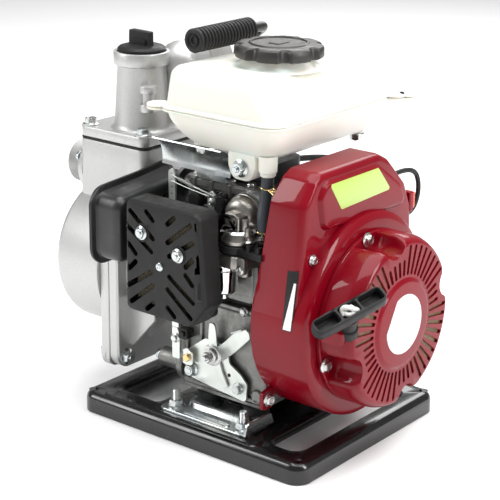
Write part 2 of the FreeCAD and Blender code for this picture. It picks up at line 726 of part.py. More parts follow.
def piston():
    """Piston at the top of its stroke, with three ring grooves and its pin."""
    axis, pin_z = value("cylinder_axis"), value("piston_pin_z")
    crown = pin_z + 16
    radius = value("piston_radius")
    form = solid_rod((axis, 0, crown - value("piston_height")), (axis, 0, crown), radius)
    form = form.cut(solid_rod((axis, 0, crown - 40), (axis, 0, crown - 6), radius - 3.5))
    bosses = solid_rod((axis, -22, pin_z), (axis, 22, pin_z), 10)
    core = solid_rod((axis, -30, pin_z), (axis, 30, pin_z), 6.6)
    slot = solid_box((axis - 12, -9, pin_z - 12), (axis + 12, 9, pin_z + 10))
    form = form.fuse(bosses.cut(slot)).cut(core)
    for number in range(3):
        high = crown - 3 - 4 * number
        groove = solid_rod((axis, 0, high - 1.6), (axis, 0, high), radius + 1)
        groove = groove.cut(solid_rod((axis, 0, high - 2), (axis, 0, high + 1), radius - 1.6))
        form = form.cut(groove)
    pin = solid_rod((axis, -21, pin_z), (axis, 21, pin_z), 6.5)
    pin = pin.cut(solid_rod((axis, -22, pin_z), (axis, 22, pin_z), 3.5))
    shaped("piston", Part.makeCompound([tidy(form), pin]))


def connecting_rod():
    """Small end and shank; the split big end turns with the crankpin."""
    axis, pin_z = value("cylinder_axis"), value("piston_pin_z")
    foot = CRANK_Z + value("crank_throw") + value("bigend_radius") + 0.8
    eye = solid_rod((axis, -8, pin_z), (axis, 8, pin_z), 9.5)
    shank = solid_box((axis - 6, -4, foot), (axis + 6, 4, pin_z - 4))
    form = eye.fuse(shank)
    form = form.cut(solid_rod((axis, -9, pin_z), (axis, 9, pin_z), 6.6))
    shaped("connecting_rod", tidy(form))


def oil_filler_cap():
    """Plastic filler plug with a dipstick, on the far side of the case."""
    x, z = 30, value("case_floor") + 34
    face = value("case_half") + 0.3
    stem = solid_rod((x, face - 14, z), (x, face, z), 8.9)
    head = solid_rod((x, face, z), (x, face + 9, z), 14)
    wing = solid_box((x - 11, face + 9, z - 2), (x + 11, face + 16, z + 2))
    stick = solid_rod((x, face - 40, z), (x, face - 13, z), 2.2)
    shaped("oil_filler_cap", tidy(stem.fuse(head).fuse(wing).fuse(stick)))


# ------------------------------------------------------ flywheel, starter

def flywheel():
    """Cast wheel with cooling blades and the slotted starter cup."""
    radius, left = value("flywheel_radius"), value("flywheel_left")
    right = left + value("flywheel_width")
    form = solid_rod((left, 0, CRANK_Z), (right, 0, CRANK_Z), radius)
    form = form.fuse(solid_rod((left - 4, 0, CRANK_Z), (right, 0, CRANK_Z), 20))
    for number in range(int(value("fan_blades"))):
        blade = solid_box((right - 1, -1.2, 50), (right + value("fan_blade_height"), 1.2, 76))
        blade.translate(VECTOR(0, 0, CRANK_Z))
        blade.rotate(VECTOR(0, 0, CRANK_Z + 62), VECTOR(1, 0, 0), 25)
        turn = 360.0 * number / value("fan_blades")
        blade.rotate(VECTOR(0, 0, CRANK_Z), VECTOR(1, 0, 0), turn)
        form = form.fuse(blade)
    cup = solid_rod((right - 1, 0, CRANK_Z), (right + 21, 0, CRANK_Z), value("cup_radius"))
    cup = cup.cut(solid_rod((right + 2, 0, CRANK_Z), (right + 22, 0, CRANK_Z), 31))
    for number in range(6):
        window = solid_box((right + 6, -6, 25), (right + 15, 6, 40))
        window.translate(VECTOR(0, 0, CRANK_Z))
        window.rotate(VECTOR(0, 0, CRANK_Z), VECTOR(1, 0, 0), 60 * number)
        cup = cup.cut(window)
    form = form.fuse(cup)
    form = form.cut(solid_rod((left - 5, 0, CRANK_Z), (94.2, 0, CRANK_Z), 12.55))
    form = form.cut(solid_rod((93, 0, CRANK_Z), (right + 22, 0, CRANK_Z), 8.05))
    nut = solid_hex((right + 2.6, 0, CRANK_Z), (right + 14, 0, CRANK_Z), 12)
    nut = nut.cut(solid_rod((right + 2, 0, CRANK_Z), (right + 15, 0, CRANK_Z), 8.05))
    shaped("flywheel", Part.makeCompound([tidy(form), nut]))


def shroud_outline(inset):
    """The tall upper part of the blower housing, seen along the crank axis."""
    front, back, top = -value("shroud_front"), value("shroud_back"), value("shroud_top")
    hip, hip_height = value("blower_radius") - 0.2, CRANK_Z + 4
    corners = [(-hip, hip_height), (front, top - 26), (front + 14, top - 6), (front + 24, top),
               (30, top), (46, top - 8), (76, top - 37), (88, top - 62), (back, top - 90),
               (hip, hip_height)]
    wire = Part.makePolygon([VECTOR(0, y, z) for y, z in corners + corners[:1]])
    face = Part.Face(wire)
    if inset:
        face = face.makeOffset2D(-inset)
    return face


def blower_housing():
    """Steel shroud that leads the fan's air over the cylinder."""
    skin = value("blower_skin")
    left, right = value("blower_left"), value("blower_right")
    drum = solid_rod((left, 0, CRANK_Z), (right, 0, CRANK_Z), value("blower_radius"))
    drum = drum.makeFillet(8, [edge for edge in drum.Edges
                               if abs(edge.BoundBox.XMin - right) < 1e-3
                               and isinstance(edge.Curve, Part.Circle)])
    core = solid_rod((left - 1, 0, CRANK_Z), (right - skin, 0, CRANK_Z),
                     value("blower_radius") - skin)
    start, end = value("shroud_left"), value("shroud_right")
    tower = shroud_outline(0).extrude(VECTOR(end - start, 0, 0))
    tower.translate(VECTOR(start, 0, 0))
    hollow = shroud_outline(skin).extrude(VECTOR(end - start, 0, 0))
    hollow.translate(VECTOR(start - skin, 0, 0))
    panel = prism("X", end - 1, 5, [(-62, 232), (-68, 262), (-60, 274), (22, 274),
                                    (62, 246), (72, 228)])
    switch_seat = solid_box((99, 84, 213), (119, 90.5, 235))
    form = drum.fuse(tower).fuse(panel).fuse(switch_seat).cut(core).cut(hollow)
    eye = solid_rod((right - 10, 0, CRANK_Z), (right + 1, 0, CRANK_Z), value("eye_radius"))
    form = form.cut(eye)
    for angle in NOTCH_ANGLES:
        spot = on_circle(value("scallop_radius"), angle, right - 5)
        form = form.cut(solid_rod(spot, spot + VECTOR(10, 0, 0), 3.2))
    shaped("blower_housing", tidy(form))


def recoil_cover():
    """Domed starter cover: radial air slots, four bolt scallops, rope eye."""
    skin, face = value("starter_skin"), value("starter_face")
    start = value("blower_right") + 0.3
    radius = value("starter_radius")
    knee = face - 12
    form = solid_rod((start, 0, CRANK_Z), (knee, 0, CRANK_Z), radius)
    form = form.fuse(solid_rod((knee, 0, CRANK_Z), (face, 0, CRANK_Z), radius, radius - 5))
    core = solid_rod((start - 1, 0, CRANK_Z), (knee, 0, CRANK_Z), radius - skin)
    core = core.fuse(solid_rod((knee, 0, CRANK_Z), (face - skin, 0, CRANK_Z),
                               radius - skin, radius - skin - 4))
    form = form.fuse(solid_rod((face - 1, 0, CRANK_Z), (face + 2.5, 0, CRANK_Z),
                               value("hub_radius") + 4, value("hub_radius")))
    form = form.cut(core)
    post = solid_rod((132, 0, CRANK_Z), (face, 0, CRANK_Z), 9)
    form = form.fuse(post)
    for angle in NOTCH_ANGLES:
        spot = on_circle(radius - 2, angle, start + 4)
        bowl = solid_rod(spot, spot + VECTOR(face, 0, 0), value("scallop_size"))
        outer = solid_rod(spot - VECTOR(4, 0, 0), spot + VECTOR(face - start, 0, 0),
                          value("scallop_size") + skin)
        wall = outer.common(solid_rod((start, 0, CRANK_Z), (face - 4, 0, CRANK_Z), radius - 1))
        form = form.fuse(wall).cut(bowl)
        hole = on_circle(value("scallop_radius"), angle, start - 1)
        form = form.cut(solid_rod(hole, hole + VECTOR(8, 0, 0), 3.3))
    slots = []
    for number in range(int(value("slot_count"))):
        angle = 360.0 * number / value("slot_count")
        if min(abs((angle - notch + 180) % 360 - 180) for notch in NOTCH_ANGLES) < 13:
            continue
        slot = solid_box((face - 14, -value("slot_width") / 2, value("slot_inner")),
                         (face + 1, value("slot_width") / 2, value("slot_outer")))
        slot.translate(VECTOR(0, 0, CRANK_Z))
        slot.rotate(VECTOR(0, 0, CRANK_Z), VECTOR(1, 0, 0), angle - 90)
        slots.append(slot)
    form = form.cut(Part.makeCompound(slots))
    boss = solid_rod(ROPE_EXIT - PULL * 4, ROPE_EXIT + PULL * 16, 15)
    boss = boss.common(solid_rod((start, 0, CRANK_Z), (knee, 0, CRANK_Z), radius - 0.5))
    form = form.fuse(boss)
    form = form.cut(solid_rod(ROPE_EXIT, ROPE_EXIT + PULL * 45, 12.5))
    form = form.cut(solid_rod(ROPE_EXIT - PULL * 9, ROPE_EXIT + PULL,
                              value("rope_radius") + 0.8))
    shaped("recoil_cover", form)


def recoil_bolts():
    pieces = []
    for angle in NOTCH_ANGLES:
        spot = on_circle(value("scallop_radius"), angle, value("blower_right") + 4.4)
        pieces.append(cap_screw(spot, (-1, 0, 0), 2.9, 12, 5.2, 4.5, 6.6))
    shaped("recoil_bolts", Part.makeCompound(pieces))


def starter_pulley():
    """Rope reel on the cover's post, with a groove and a spring drum."""
    radius = value("pulley_radius")
    mid = ROPE_EXIT.x - 3
    half = value("pulley_width") / 2
    form = solid_rod((mid - half, 0, CRANK_Z), (mid + half, 0, CRANK_Z), radius)
    groove = solid_rod((mid - 3, 0, CRANK_Z), (mid + 3, 0, CRANK_Z), radius + 1)
    groove = groove.cut(solid_rod((mid - 4, 0, CRANK_Z), (mid + 4, 0, CRANK_Z), radius - 8))
    form = form.cut(groove)
    form = form.fuse(solid_rod((mid - 9, 0, CRANK_Z), (mid - half, 0, CRANK_Z), 26))
    form = form.cut(solid_rod((mid - 10, 0, CRANK_Z), (mid + 10, 0, CRANK_Z),
                              9 + value("running_gap")))
    shaped("starter_pulley", tidy(form))


def starter_handle():
    """T-handle with three open pockets, and the rope that runs into the guide."""
    long_axis = VECTOR(0.384, 0.863, 0.330).normalize()
    side = PULL.cross(long_axis).normalize()
    middle = ROPE_EXIT + PULL * 29
    half_length, half_width, half_depth = 38, 9, 6.5
    block = solid_box((-half_length, -half_width, -half_depth),
                      (half_length, half_width, half_depth))
    block = upright_fillet(block, 7)
    for low, high in ((-34.5, -12), (-10, 10), (12, 34.5)):
        block = block.cut(upright_fillet(
            solid_box((low, -half_width + 3, -half_depth + 3),
                      (high, half_width - 3, half_depth + 1)), 4))
    neck = solid_rod((0, 0, -half_depth - 19), (0, 0, -half_depth + 1), 7, 8.5)
    hole = solid_rod((0, 0, -30), (0, 0, 1), value("rope_radius") + 0.3)
    form = block.fuse(neck).cut(hole)
    form.Placement = FreeCAD.Placement(middle, FreeCAD.Rotation(long_axis, side, PULL))
    shaped("starter_handle", tidy(form))
    rope = solid_rod(ROPE_EXIT - PULL * 10, middle - PULL * 0.5, value("rope_radius"))
    shaped("starter_rope", rope)


# ------------------------------------------------------------- fuel tank

def rounded_outline(low, high, radius, z):
    """A rectangle with round corners in the plane at height z."""
    block = upright_fillet(solid_box((low[0], low[1], z), (high[0], high[1], z + 1)), radius)
    bottom = [face for face in block.Faces if abs(face.BoundBox.ZMax - z) < 1e-6][0]
    return bottom.OuterWire


def tank_shell(floor, top, low_inset, high_inset, corner):
    """A drafted tank half between two heights, each with its own inset."""
    wires = []
    for height, inset in ((floor, low_inset), (top, high_inset)):
        low = (value("tank_left") + inset[0], -value("tank_front") + inset[1])
        high = (value("tank_right") - inset[2], value("tank_back") - inset[3])
        wires.append(rounded_outline(low, high, corner, height))
    return Part.makeLoft(wires, True, True)


def tank_lip(low, high):
    """The seam lip with an ear at two opposite corners."""
    block = solid_box((value("tank_left"), -value("tank_front"), low),
                      (value("tank_right"), value("tank_back"), high))
    form = upright_fillet(block, 20)
    for x, y, radius in TANK_EARS:
        form = form.fuse(solid_rod((x, y, low), (x, y, high), radius))
    return form


def fuel_tank():
    """White tank in two welded halves with a lip at the seam."""
    seam, top, floor = value("seam_height"), value("tank_top"), value("tank_floor")
    skin, half_lip = value("tank_skin"), value("seam_thickness") / 2
    x, y = value("filler_x"), value("filler_y")
    upper = tank_shell(seam + 0.15, top, (5, 5, 5, 5), (8, 9, 30, 11), 18)
    rim = [edge for edge in upper.Edges if edge.BoundBox.ZMin > top - 1e-3]
    upper = upper.makeFillet(7, rim)
    upper = upper.fuse(tank_lip(seam + 0.15, seam + half_lip))
    inner = tank_shell(seam, top - skin, (8, 8, 8, 8), (11, 12, 33, 14), 15)
    upper = upper.cut(inner)
    neck_top = value("cap_floor") + 4
    upper = upper.fuse(solid_rod((x, y, top - skin), (x, y, neck_top), value("neck_radius")))
    upper = upper.cut(solid_rod((x, y, top - 9), (x, y, neck_top + 1), 24))
    shaped("fuel_tank_upper", tidy(upper))
    lower = tank_shell(floor, seam - 0.15, (26, 19, 18, 13), (5, 5, 5, 5), 18)
    keel = [edge for edge in lower.Edges if edge.BoundBox.ZMax < floor + 1e-3]
    lower = lower.makeFillet(9, keel)
    lower = lower.fuse(tank_lip(seam - half_lip, seam - 0.15))
    inner = tank_shell(floor + skin, seam, (29, 22, 21, 16), (8, 8, 8, 8), 15)
    lower = lower.cut(inner)
    outlet = solid_rod((56, -62, 266), (56, -62, floor + 1), 3)
    lower = lower.fuse(outlet).fuse(solid_rod((56, -62, 276), (56, -62, floor + 1), 7))
    lower = lower.cut(solid_rod((56, -62, 265), (56, -62, floor + skin + 2), 1.8))
    shaped("fuel_tank_lower", tidy(lower))


def fuel_cap():
    """Bayonet cap with grip notches round the rim and a plug in the neck."""
    x, y = value("filler_x"), value("filler_y")
    floor, height = value("cap_floor"), value("cap_height")
    radius = value("cap_radius")
    form = solid_rod((x, y, floor), (x, y, floor + height), radius)
    form = form.makeFillet(3, [edge for edge in form.Edges
                               if edge.BoundBox.ZMin > floor + height - 1e-3])
    form = form.cut(solid_rod((x, y, floor - 1), (x, y, floor + 5), 27.4))
    form = form.cut(solid_rod((x, y, floor + height - 1.5), (x, y, floor + height + 1), 27))
    form = form.fuse(solid_rod((x, y, floor - 8), (x, y, floor + height - 4), 23.6))
    for number in range(int(value("cap_notches"))):
        angle = math.radians(360 * (number + 0.5) / value("cap_notches"))
        spot = VECTOR(x + (radius + 5) * math.cos(angle), y + (radius + 5) * math.sin(angle),
                      floor - 1)
        form = form.cut(solid_rod(spot, spot + VECTOR(0, 0, height + 2), 9))
    shaped("fuel_cap", tidy(form))


def tank_fasteners():
    floor = value("tank_floor") - 0.2
    pieces = [cap_screw((x, y, floor - 4), (0, 0, 1), 2.9, 3.9, 5.2, 4.5, 7.1)
              for x, y in TANK_BOLTS]
    shaped("tank_fasteners", Part.makeCompound(pieces))


def fuel_hose():
    """Hose from the tank outlet to the carburettor's barb."""
    shaped("fuel_hose", tube([(56, -62, 268), (56, -62, 251), (61.5, -76, 240),
                              (61.5, -76, 222)], 6, 3.3))


def heat_shield():
    """Zinc plate between the silencer and the tank, bent at top and bottom."""
    plate = solid_box((-84, -51, 256), (2, -49, 284))
    foot = solid_box((-40, -51, 249.2), (-4, -40, 251.2))
    riser = solid_box((-40, -51, 249.2), (-4, -49, 260))
    top = solid_box((-36, -66, 282), (-20, -49, 284))
    form = plate.fuse(foot).fuse(riser).fuse(top)
    form = form.cut(solid_rod((-28, -56, 281), (-28, -56, 285), 3.3))
    form = form.cut(solid_rod((-28, -56, 270), (-28, -56, 281.9), 8))
    shaped("heat_shield", tidy(form))


# ---------------------------------------------------- fuel and air intake

def carburettor():
    """Body with the air passage, a round flange, the neck and a vacuum dome."""
    x, y = CARB.x, CARB.y
    form = solid_rod((x - 7.5, y, 207), (x - 7.5, y, 218), 18.5)
    form = form.fuse(solid_rod((x + 6.5, y, 207), (x + 6.5, y, 218), 18.5))
    form = form.fuse(solid_box((x - 7.5, y - 18.5, 207), (x + 6.5, y + 18.5, 218)))
    form = form.fuse(solid_box((10, -94, 208), (54, -64, 224.5)))
    form = form.fuse(solid_box((22, -70, 208), (50, -60.3, 224.5)))
    form = form.fuse(solid_rod((x + 1, y + 0.5, 217), (x + 1, y + 0.5, 236), 18))
    form = form.fuse(solid_rod((x + 1, y + 0.5, 236), (x + 1, y + 0.5, 243), 18, 12))
    form = form.fuse(solid_rod((x, y, 186), (x, y, 208), 12))
    form = form.fuse(solid_box((7, -99, 185.3), (50, -66, 191)))
    form = form.fuse(solid_box((50, -80, 210), (65, -72, 217)))
    form = form.fuse(solid_rod((61.5, -76, 213), (61.5, -76, 233), 3))
    form = form.fuse(solid_rod((44, y, 176), (44, y, 186), 6.5))
    form = form.cut(solid_rod((9, -79, 215), (43, -79, 215), 7))
    form = form.cut(solid_rod((x, -84, 215), (x, -60, 215), 7))
    shaped("carburettor", form)


def float_bowl():
    """Bowl for the float, with its drain screw."""
    x, y = 22, CARB.y - 5
    form = solid_rod((x, y, 159), (x, y, 185), 13.5)
    form = form.fuse(solid_rod((x, y, 155), (x, y, 159), 8, 13.5))
    form = form.fuse(solid_rod((x, y, 180), (x, y, 185), 15))
    form = form.cut(solid_rod((x, y, 160), (x, y, 186), 11.5))
    form = form.fuse(solid_hex((x, y, 150), (x, y, 155.5), 5))
    shaped("float_bowl", tidy(form))


def fuel_tap_lever():
    """Ring on the carburettor's neck with a flat handle."""
    x, y = CARB.x, CARB.y
    form = solid_rod((x, y, 199), (x, y, 206.6), 17.5)
    form = form.fuse(solid_box((x, y - 4, 199), (x + 29, y + 4, 203.5)))
    form = form.fuse(solid_box((x + 25, y - 4, 199), (x + 29, y + 4, 209)))
    form = form.fuse(solid_box((x + 25, y - 4, 205), (x + 36.5, y + 4, 209)))
    form = form.cut(solid_rod((x, y, 198), (x, y, 208), 12 + value("seat_gap")))
    shaped("fuel_tap_lever", tidy(form))


def choke_lever():
    """Flat lever with a round knob beside the carburettor's air inlet."""
    arm = prism("Y", -61, 2.4, [(-33, 227), (-33, 234), (4, 236), (9, 231), (4, 226)])
    form = arm.fuse(solid_rod((-31, -70, 230.5), (-31, -56, 230.5), 6))
    form = form.fuse(solid_rod((4, -66, 231), (4, -55, 231), 5.5))
    shaped("choke_lever", tidy(form))


def air_filter():
    """Case with its duct, a foam element and a slotted cover."""
    duct = solid_box((-12, -99.5, 193), (9.7, -66, 227))
    duct = duct.fuse(solid_rod((4, -72, 231), (4, -66.2, 231), 5))
    plate = upright_fillet(solid_box((-58, -105.7, 135), (27, -99, 240)), 6, "Y")
    recess = upright_fillet(solid_box((-55, -106.7, 138), (24, -102, 237)), 4, "Y")
    case = plate.cut(recess).fuse(duct)
    case = case.cut(solid_rod((-3, -79, 215), (11, -79, 215), 8))
    case = case.cut(solid_box((-9, -103, 207), (5, -71, 223)))
    for x, z in FILTER_NUTS:
        stud = solid_rod((x, -134.4, z), (x, -100, z), 3)
        case = case.fuse(stud)
    shaped("air_filter_case", tidy(case))
    foam = upright_fillet(solid_box((-53, -125, 140), (22, -102.5, 235)), 5, "Y")
    for x, z in FILTER_NUTS:
        foam = foam.cut(solid_rod((x, -130, z), (x, -96, z), 4.5))
    foam = foam.cut(solid_rod((-17, -134, 184), (-17, -115, 184), 3.5))
    shaped("air_filter_element", foam)
    outline = [(-61, 132), (21, 132), (38, 155), (30, 243), (-60, 243)]
    outer = upright_fillet(prism("Y", -131, 25, outline), 6, "Y")
    inner_line = [(-58, 135), (20, 135), (34.6, 156), (27, 240), (-57, 240)]
    inner = upright_fillet(prism("Y", -128.5, 24, inner_line), 4, "Y")
    cover = outer.cut(inner)
    for cutter in filter_slots():
        cover = cover.cut(cutter)
    for x, z in FILTER_NUTS:
        cover = cover.fuse(solid_rod((x, -131, z), (x, -128.5, z), 8))
        cover = cover.cut(solid_rod((x, -132, z), (x, -127, z), 3.4))
    cover = cover.cut(solid_rod((-17, -132, 184), (-17, -127, 184), 2.4))
    shaped("air_filter_cover", tidy(cover))
    pieces = []
    for x, z in FILTER_NUTS:
        nut = solid_hex((x, -136.6, z), (x, -131.1, z), 5.6)
        nut = nut.fuse(solid_rod((x, -132.8, z), (x, -131.1, z), 7.1))
        pieces.append(tidy(nut.cut(solid_rod((x, -138, z), (x, -130, z), 3.1))))
    screw = solid_rod((-17, -133, 184), (-17, -131.1, 184), 4.2)
    screw = screw.fuse(solid_rod((-17, -132, 184), (-17, -118, 184), 2.2))
    pieces.append(tidy(screw))
    shaped("air_filter_fasteners", Part.makeCompound(pieces))


def slot_cutter(start, end):
    """A round-ended slot through the cover's front wall, from x and z pairs."""
    start, end = VECTOR(start[0], -133, start[1]), VECTOR(end[0], -133, end[1])
    run = end - start
    side = VECTOR(run.z, 0, -run.x).normalize() * 2.4
    corners = [start + side, end + side, end - side, start - side]
    face = Part.Face(Part.makePolygon(corners + corners[:1]))
    depth = VECTOR(0, 6, 0)
    form = face.extrude(depth)
    return form.fuse(solid_rod(start, start + depth, 2.4)).fuse(
        solid_rod(end, end + depth, 2.4))


def filter_slots():
    """The slots of all four quarters about the cover's middle."""
    x, z = FILTER_MIDDLE
    cutters = []
    for side_x in (-1, 1):
        for side_z in (-1, 1):
            lift = LOWER_SLOTS_UP if side_z < 0 else 0
            for start, end in FILTER_SLOTS:
                ends = [(x + side_x * a, z + side_z * b + lift) for a, b in (start, end)]
                cutters.append(slot_cutter(*ends))
    return cutters


def silencer_outline(grow):
    return [(-125 - grow, 170 - grow), (-125 - grow, 236 + grow), (-62, 240 + grow),
            (-15 + grow, 245 + grow), (-15 + grow, 170 - grow)]


def silencer():
    """Two pressed shells with a folded seam, and a stub to the exhaust port."""
    seam = -106
    outer = upright_fillet(prism("X", -115.5, 9.4, silencer_outline(0)), 13, "X")
    lip = upright_fillet(prism("X", seam - 2, 1.9, silencer_outline(6)), 13, "X")
    hollow = upright_fillet(prism("X", -114, 9, silencer_outline(-1.5)), 11.5, "X")
    shaped("muffler_outer_shell", tidy(outer.fuse(lip).cut(hollow)))
    inner = upright_fillet(prism("X", seam + 0.1, 31.9, silencer_outline(0)), 13, "X")
    lip = upright_fillet(prism("X", seam + 0.1, 1.9, silencer_outline(6)), 13, "X")
    hollow = upright_fillet(prism("X", seam - 1, 31.5, silencer_outline(-1.5)), 11.5, "X")
    height = value("deck_height") + value("seat_gap") + 9
    pipe = solid_rod((-75, -26, height), (-58.3, -26, height), 9.5)
    flange = upright_fillet(solid_box((-61.3, -48, height - 12), (-58.3, -4, height + 12)), 8, "X")
    form = inner.fuse(lip).cut(hollow).fuse(pipe).fuse(flange)
    form = form.cut(solid_rod((-80, -26, height), (-58, -26, height), 7.5))
    shaped("muffler_inner_shell", tidy(form))


# -------------------------------------------------------------- controls

def throttle_controls():
    """Control plate on the crankcase and the lever that turns on it."""
    outline = [(-34, 54), (41, 44), (41, 64), (16, 80), (16, 96), (-12, 96), (-34, 78)]
    face = -value("case_half") - 4
    plate = upright_fillet(prism("Y", face - 2, 2, outline), 3, "Y")
    stand = solid_rod((1, face - 2, 83), (1, -value("case_half") - 2.3, 83), 7)
    form = plate.fuse(stand)
    for x, z in ((-27, 60), (31.7, 55.4)):
        form = form.fuse(solid_rod((x, face - 2, z), (x, -value("case_half") - 2.3, z), 6.5))
        form = form.fuse(solid_hex((x, face - 6.5, z), (x, face - 1.9, z), 5.6))
    form = form.fuse(solid_rod((1, face - 12, 83), (1, face - 1, 83), 3.5))
    form = form.fuse(solid_rod((-26, face - 7, 74), (-26, face - 1, 74), 2.6))
    shaped("throttle_plate", tidy(form))
    low, high = face - 5, face - 2.6
    lever = prism("Y", -100, 30, [(-6, 78), (7, 77), (36, 98), (57, 118), (56, 126), (49, 127),
                                  (34, 118), (8, 92), (4, 115), (-4, 115), (-6, 90)])
    lever = upright_fillet(lever, 1.5, "Y")
    sheet = prism("Z", 70, 60, [(-8, low), (22, low), (60, low - 20), (60, low - 17.4),
                                (22.5, high), (-8, high)])
    lever = lever.common(sheet)
    tail = prism("Y", low, high - low, [(-4, 82), (6, 84), (21, 54.3), (16, 51.3)])
    hub = solid_rod((1, face - 10, 83), (1, face - 2.6, 83), 8)
    lever = lever.fuse(tail).fuse(hub)
    lever = lever.cut(solid_rod((1, face - 13, 83), (1, face, 83), 3.5 + value("running_gap")))
    shaped("throttle_lever", tidy(lever))


def governor_lever():
    """Flat bar on the governor shaft, with the rod to the carburettor."""
    bar = prism("Y", -66, 2, [(-56, 92), (-47, 90), (-50, 215), (-56, 250), (-52, 257),
                              (-58, 259), (-64, 252), (-58, 214)])
    shaft = solid_rod((-52, -69, 96), (-52, -50, 96), 3.5)
    collar = solid_rod((-52, -66, 96), (-52, -62.5, 96), 5.6)
    rod_line = tube([(-57, -64.5, 238), (-30, -64.5, 240), (-8, -64.5, 232)], 1.2)
    shaped("governor_lever", tidy(bar.fuse(shaft).fuse(collar).fuse(rod_line)))


def stop_switch():
    """Rocker switch, and the cable that loops behind the housing."""
    rocker = upright_fillet(solid_box((102, 92, 216), (116, 97.5, 232)), 2, "Y")
    rocker = rocker.fuse(solid_rod((103, 92.6, 224), (115, 92.6, 224), 1.5))
    shaped("stop_switch", tidy(rocker))
    shaped("stop_switch_wire", tube([(100, 80.5, 250), (100, 116, 252), (100, 130, 226),
                                     (100, 116, 200), (100, 91, 205)], 2.5))


# ----------------------------------------------------------- carry handle

def carry_handle():
    """Steel rod from a foot on the crankcase cover, with a ribbed grip."""
    rod_form = tube([(-52, -30, 379), (-52, 71, 379), (-71, 71, 366), (-71, 71, 150)], 5)
    foot = upright_fillet(solid_box((-77, 62.3, 134), (-48, 66.5, 172)), 5, "Y")
    form = rod_form.fuse(foot)
    for z in (141, 165):
        form = form.fuse(solid_hex((-66, 66, z), (-66, 71, z), 5.6))
    shaped("carry_handle", tidy(form))
    grip = solid_rod((-52, -42, 379), (-52, 43, 379), 10)
    for number in range(16):
        y = -38 + number * 5
        grip = grip.fuse(solid_rod((-52, y, 379), (-52, y + 2.6, 379), 11.8))
    grip = grip.cut(solid_rod((-52, -30.2, 379), (-52, 44, 379), 5.05))
    shaped("handle_grip", tidy(grip))


# ------------------------------------------------------------------- pump

def pump_casing():
    """Cast volute with a square flange, a priming chamber and a suction port."""
    radius, skin = value("volute_radius"), value("volute_skin")
    left, flange = value("volute_left"), value("flange_left")
    right, half = value("flange_right"), value("flange_half")
    form = solid_rod((left, 0, CRANK_Z), (flange + 1, 0, CRANK_Z), radius)
    form = form.makeFillet(7, [edge for edge in form.Edges
                               if abs(edge.BoundBox.XMax - left) < 1e-3])
    plate = solid_box((flange, -half, 34), (right, half, CRANK_Z + half))
    form = form.fuse(upright_fillet(plate, 9, "X"))
    block_left, block_right = value("block_left"), value("block_right")
    front, back, top = -value("block_front"), value("block_back"), value("gasket_floor")
    block = upright_fillet(solid_box((block_left, front, CRANK_Z), (right, back, top)), 6)
    ledge = upright_fillet(solid_box((right - 20, front, CRANK_Z + half + 3),
                                     (block_right, back, top)), 6)
    form = form.fuse(block).fuse(ledge)
    z = value("suction_z")
    suction = value("suction_radius")
    for start, end, size in ((block_left - 12, block_left + 4, 33),
                             (value("suction_left"), block_left, suction)):
        form = form.fuse(solid_rod((start, 0, z), (end, 0, z), size))
    form = form.cut(solid_rod((left + skin, 0, CRANK_Z), (right + 1, 0, CRANK_Z), radius - 13))
    chamber_left = block_left + 7
    form = form.cut(upright_fillet(solid_box((chamber_left, front + 7, CRANK_Z + 71),
                                             (block_right - 7, back - 7, top + 1)), 5))
    form = form.cut(solid_rod((value("suction_left") - 1, 0, z), (chamber_left + 1, 0, z), 15))
    form = form.cut(solid_rod((-165, 20, CRANK_Z + 50), (-165, 20, CRANK_Z + 90), 12))
    for x, y in LID_BOLTS:
        form = form.cut(solid_rod((x, y, top - 20), (x, y, top + 1), 3.4))
    for y, bolt_z in FLANGE_BOLTS:
        form = form.cut(solid_rod((flange - 1, y, bolt_z), (right + 1, y, bolt_z), 4.4))
    shaped("pump_casing", tidy(form))


def lid_plate(low, high):
    plate = solid_box((value("block_left"), -value("block_front"), low),
                      (value("block_right"), value("block_back"), high))
    return upright_fillet(plate, 6)


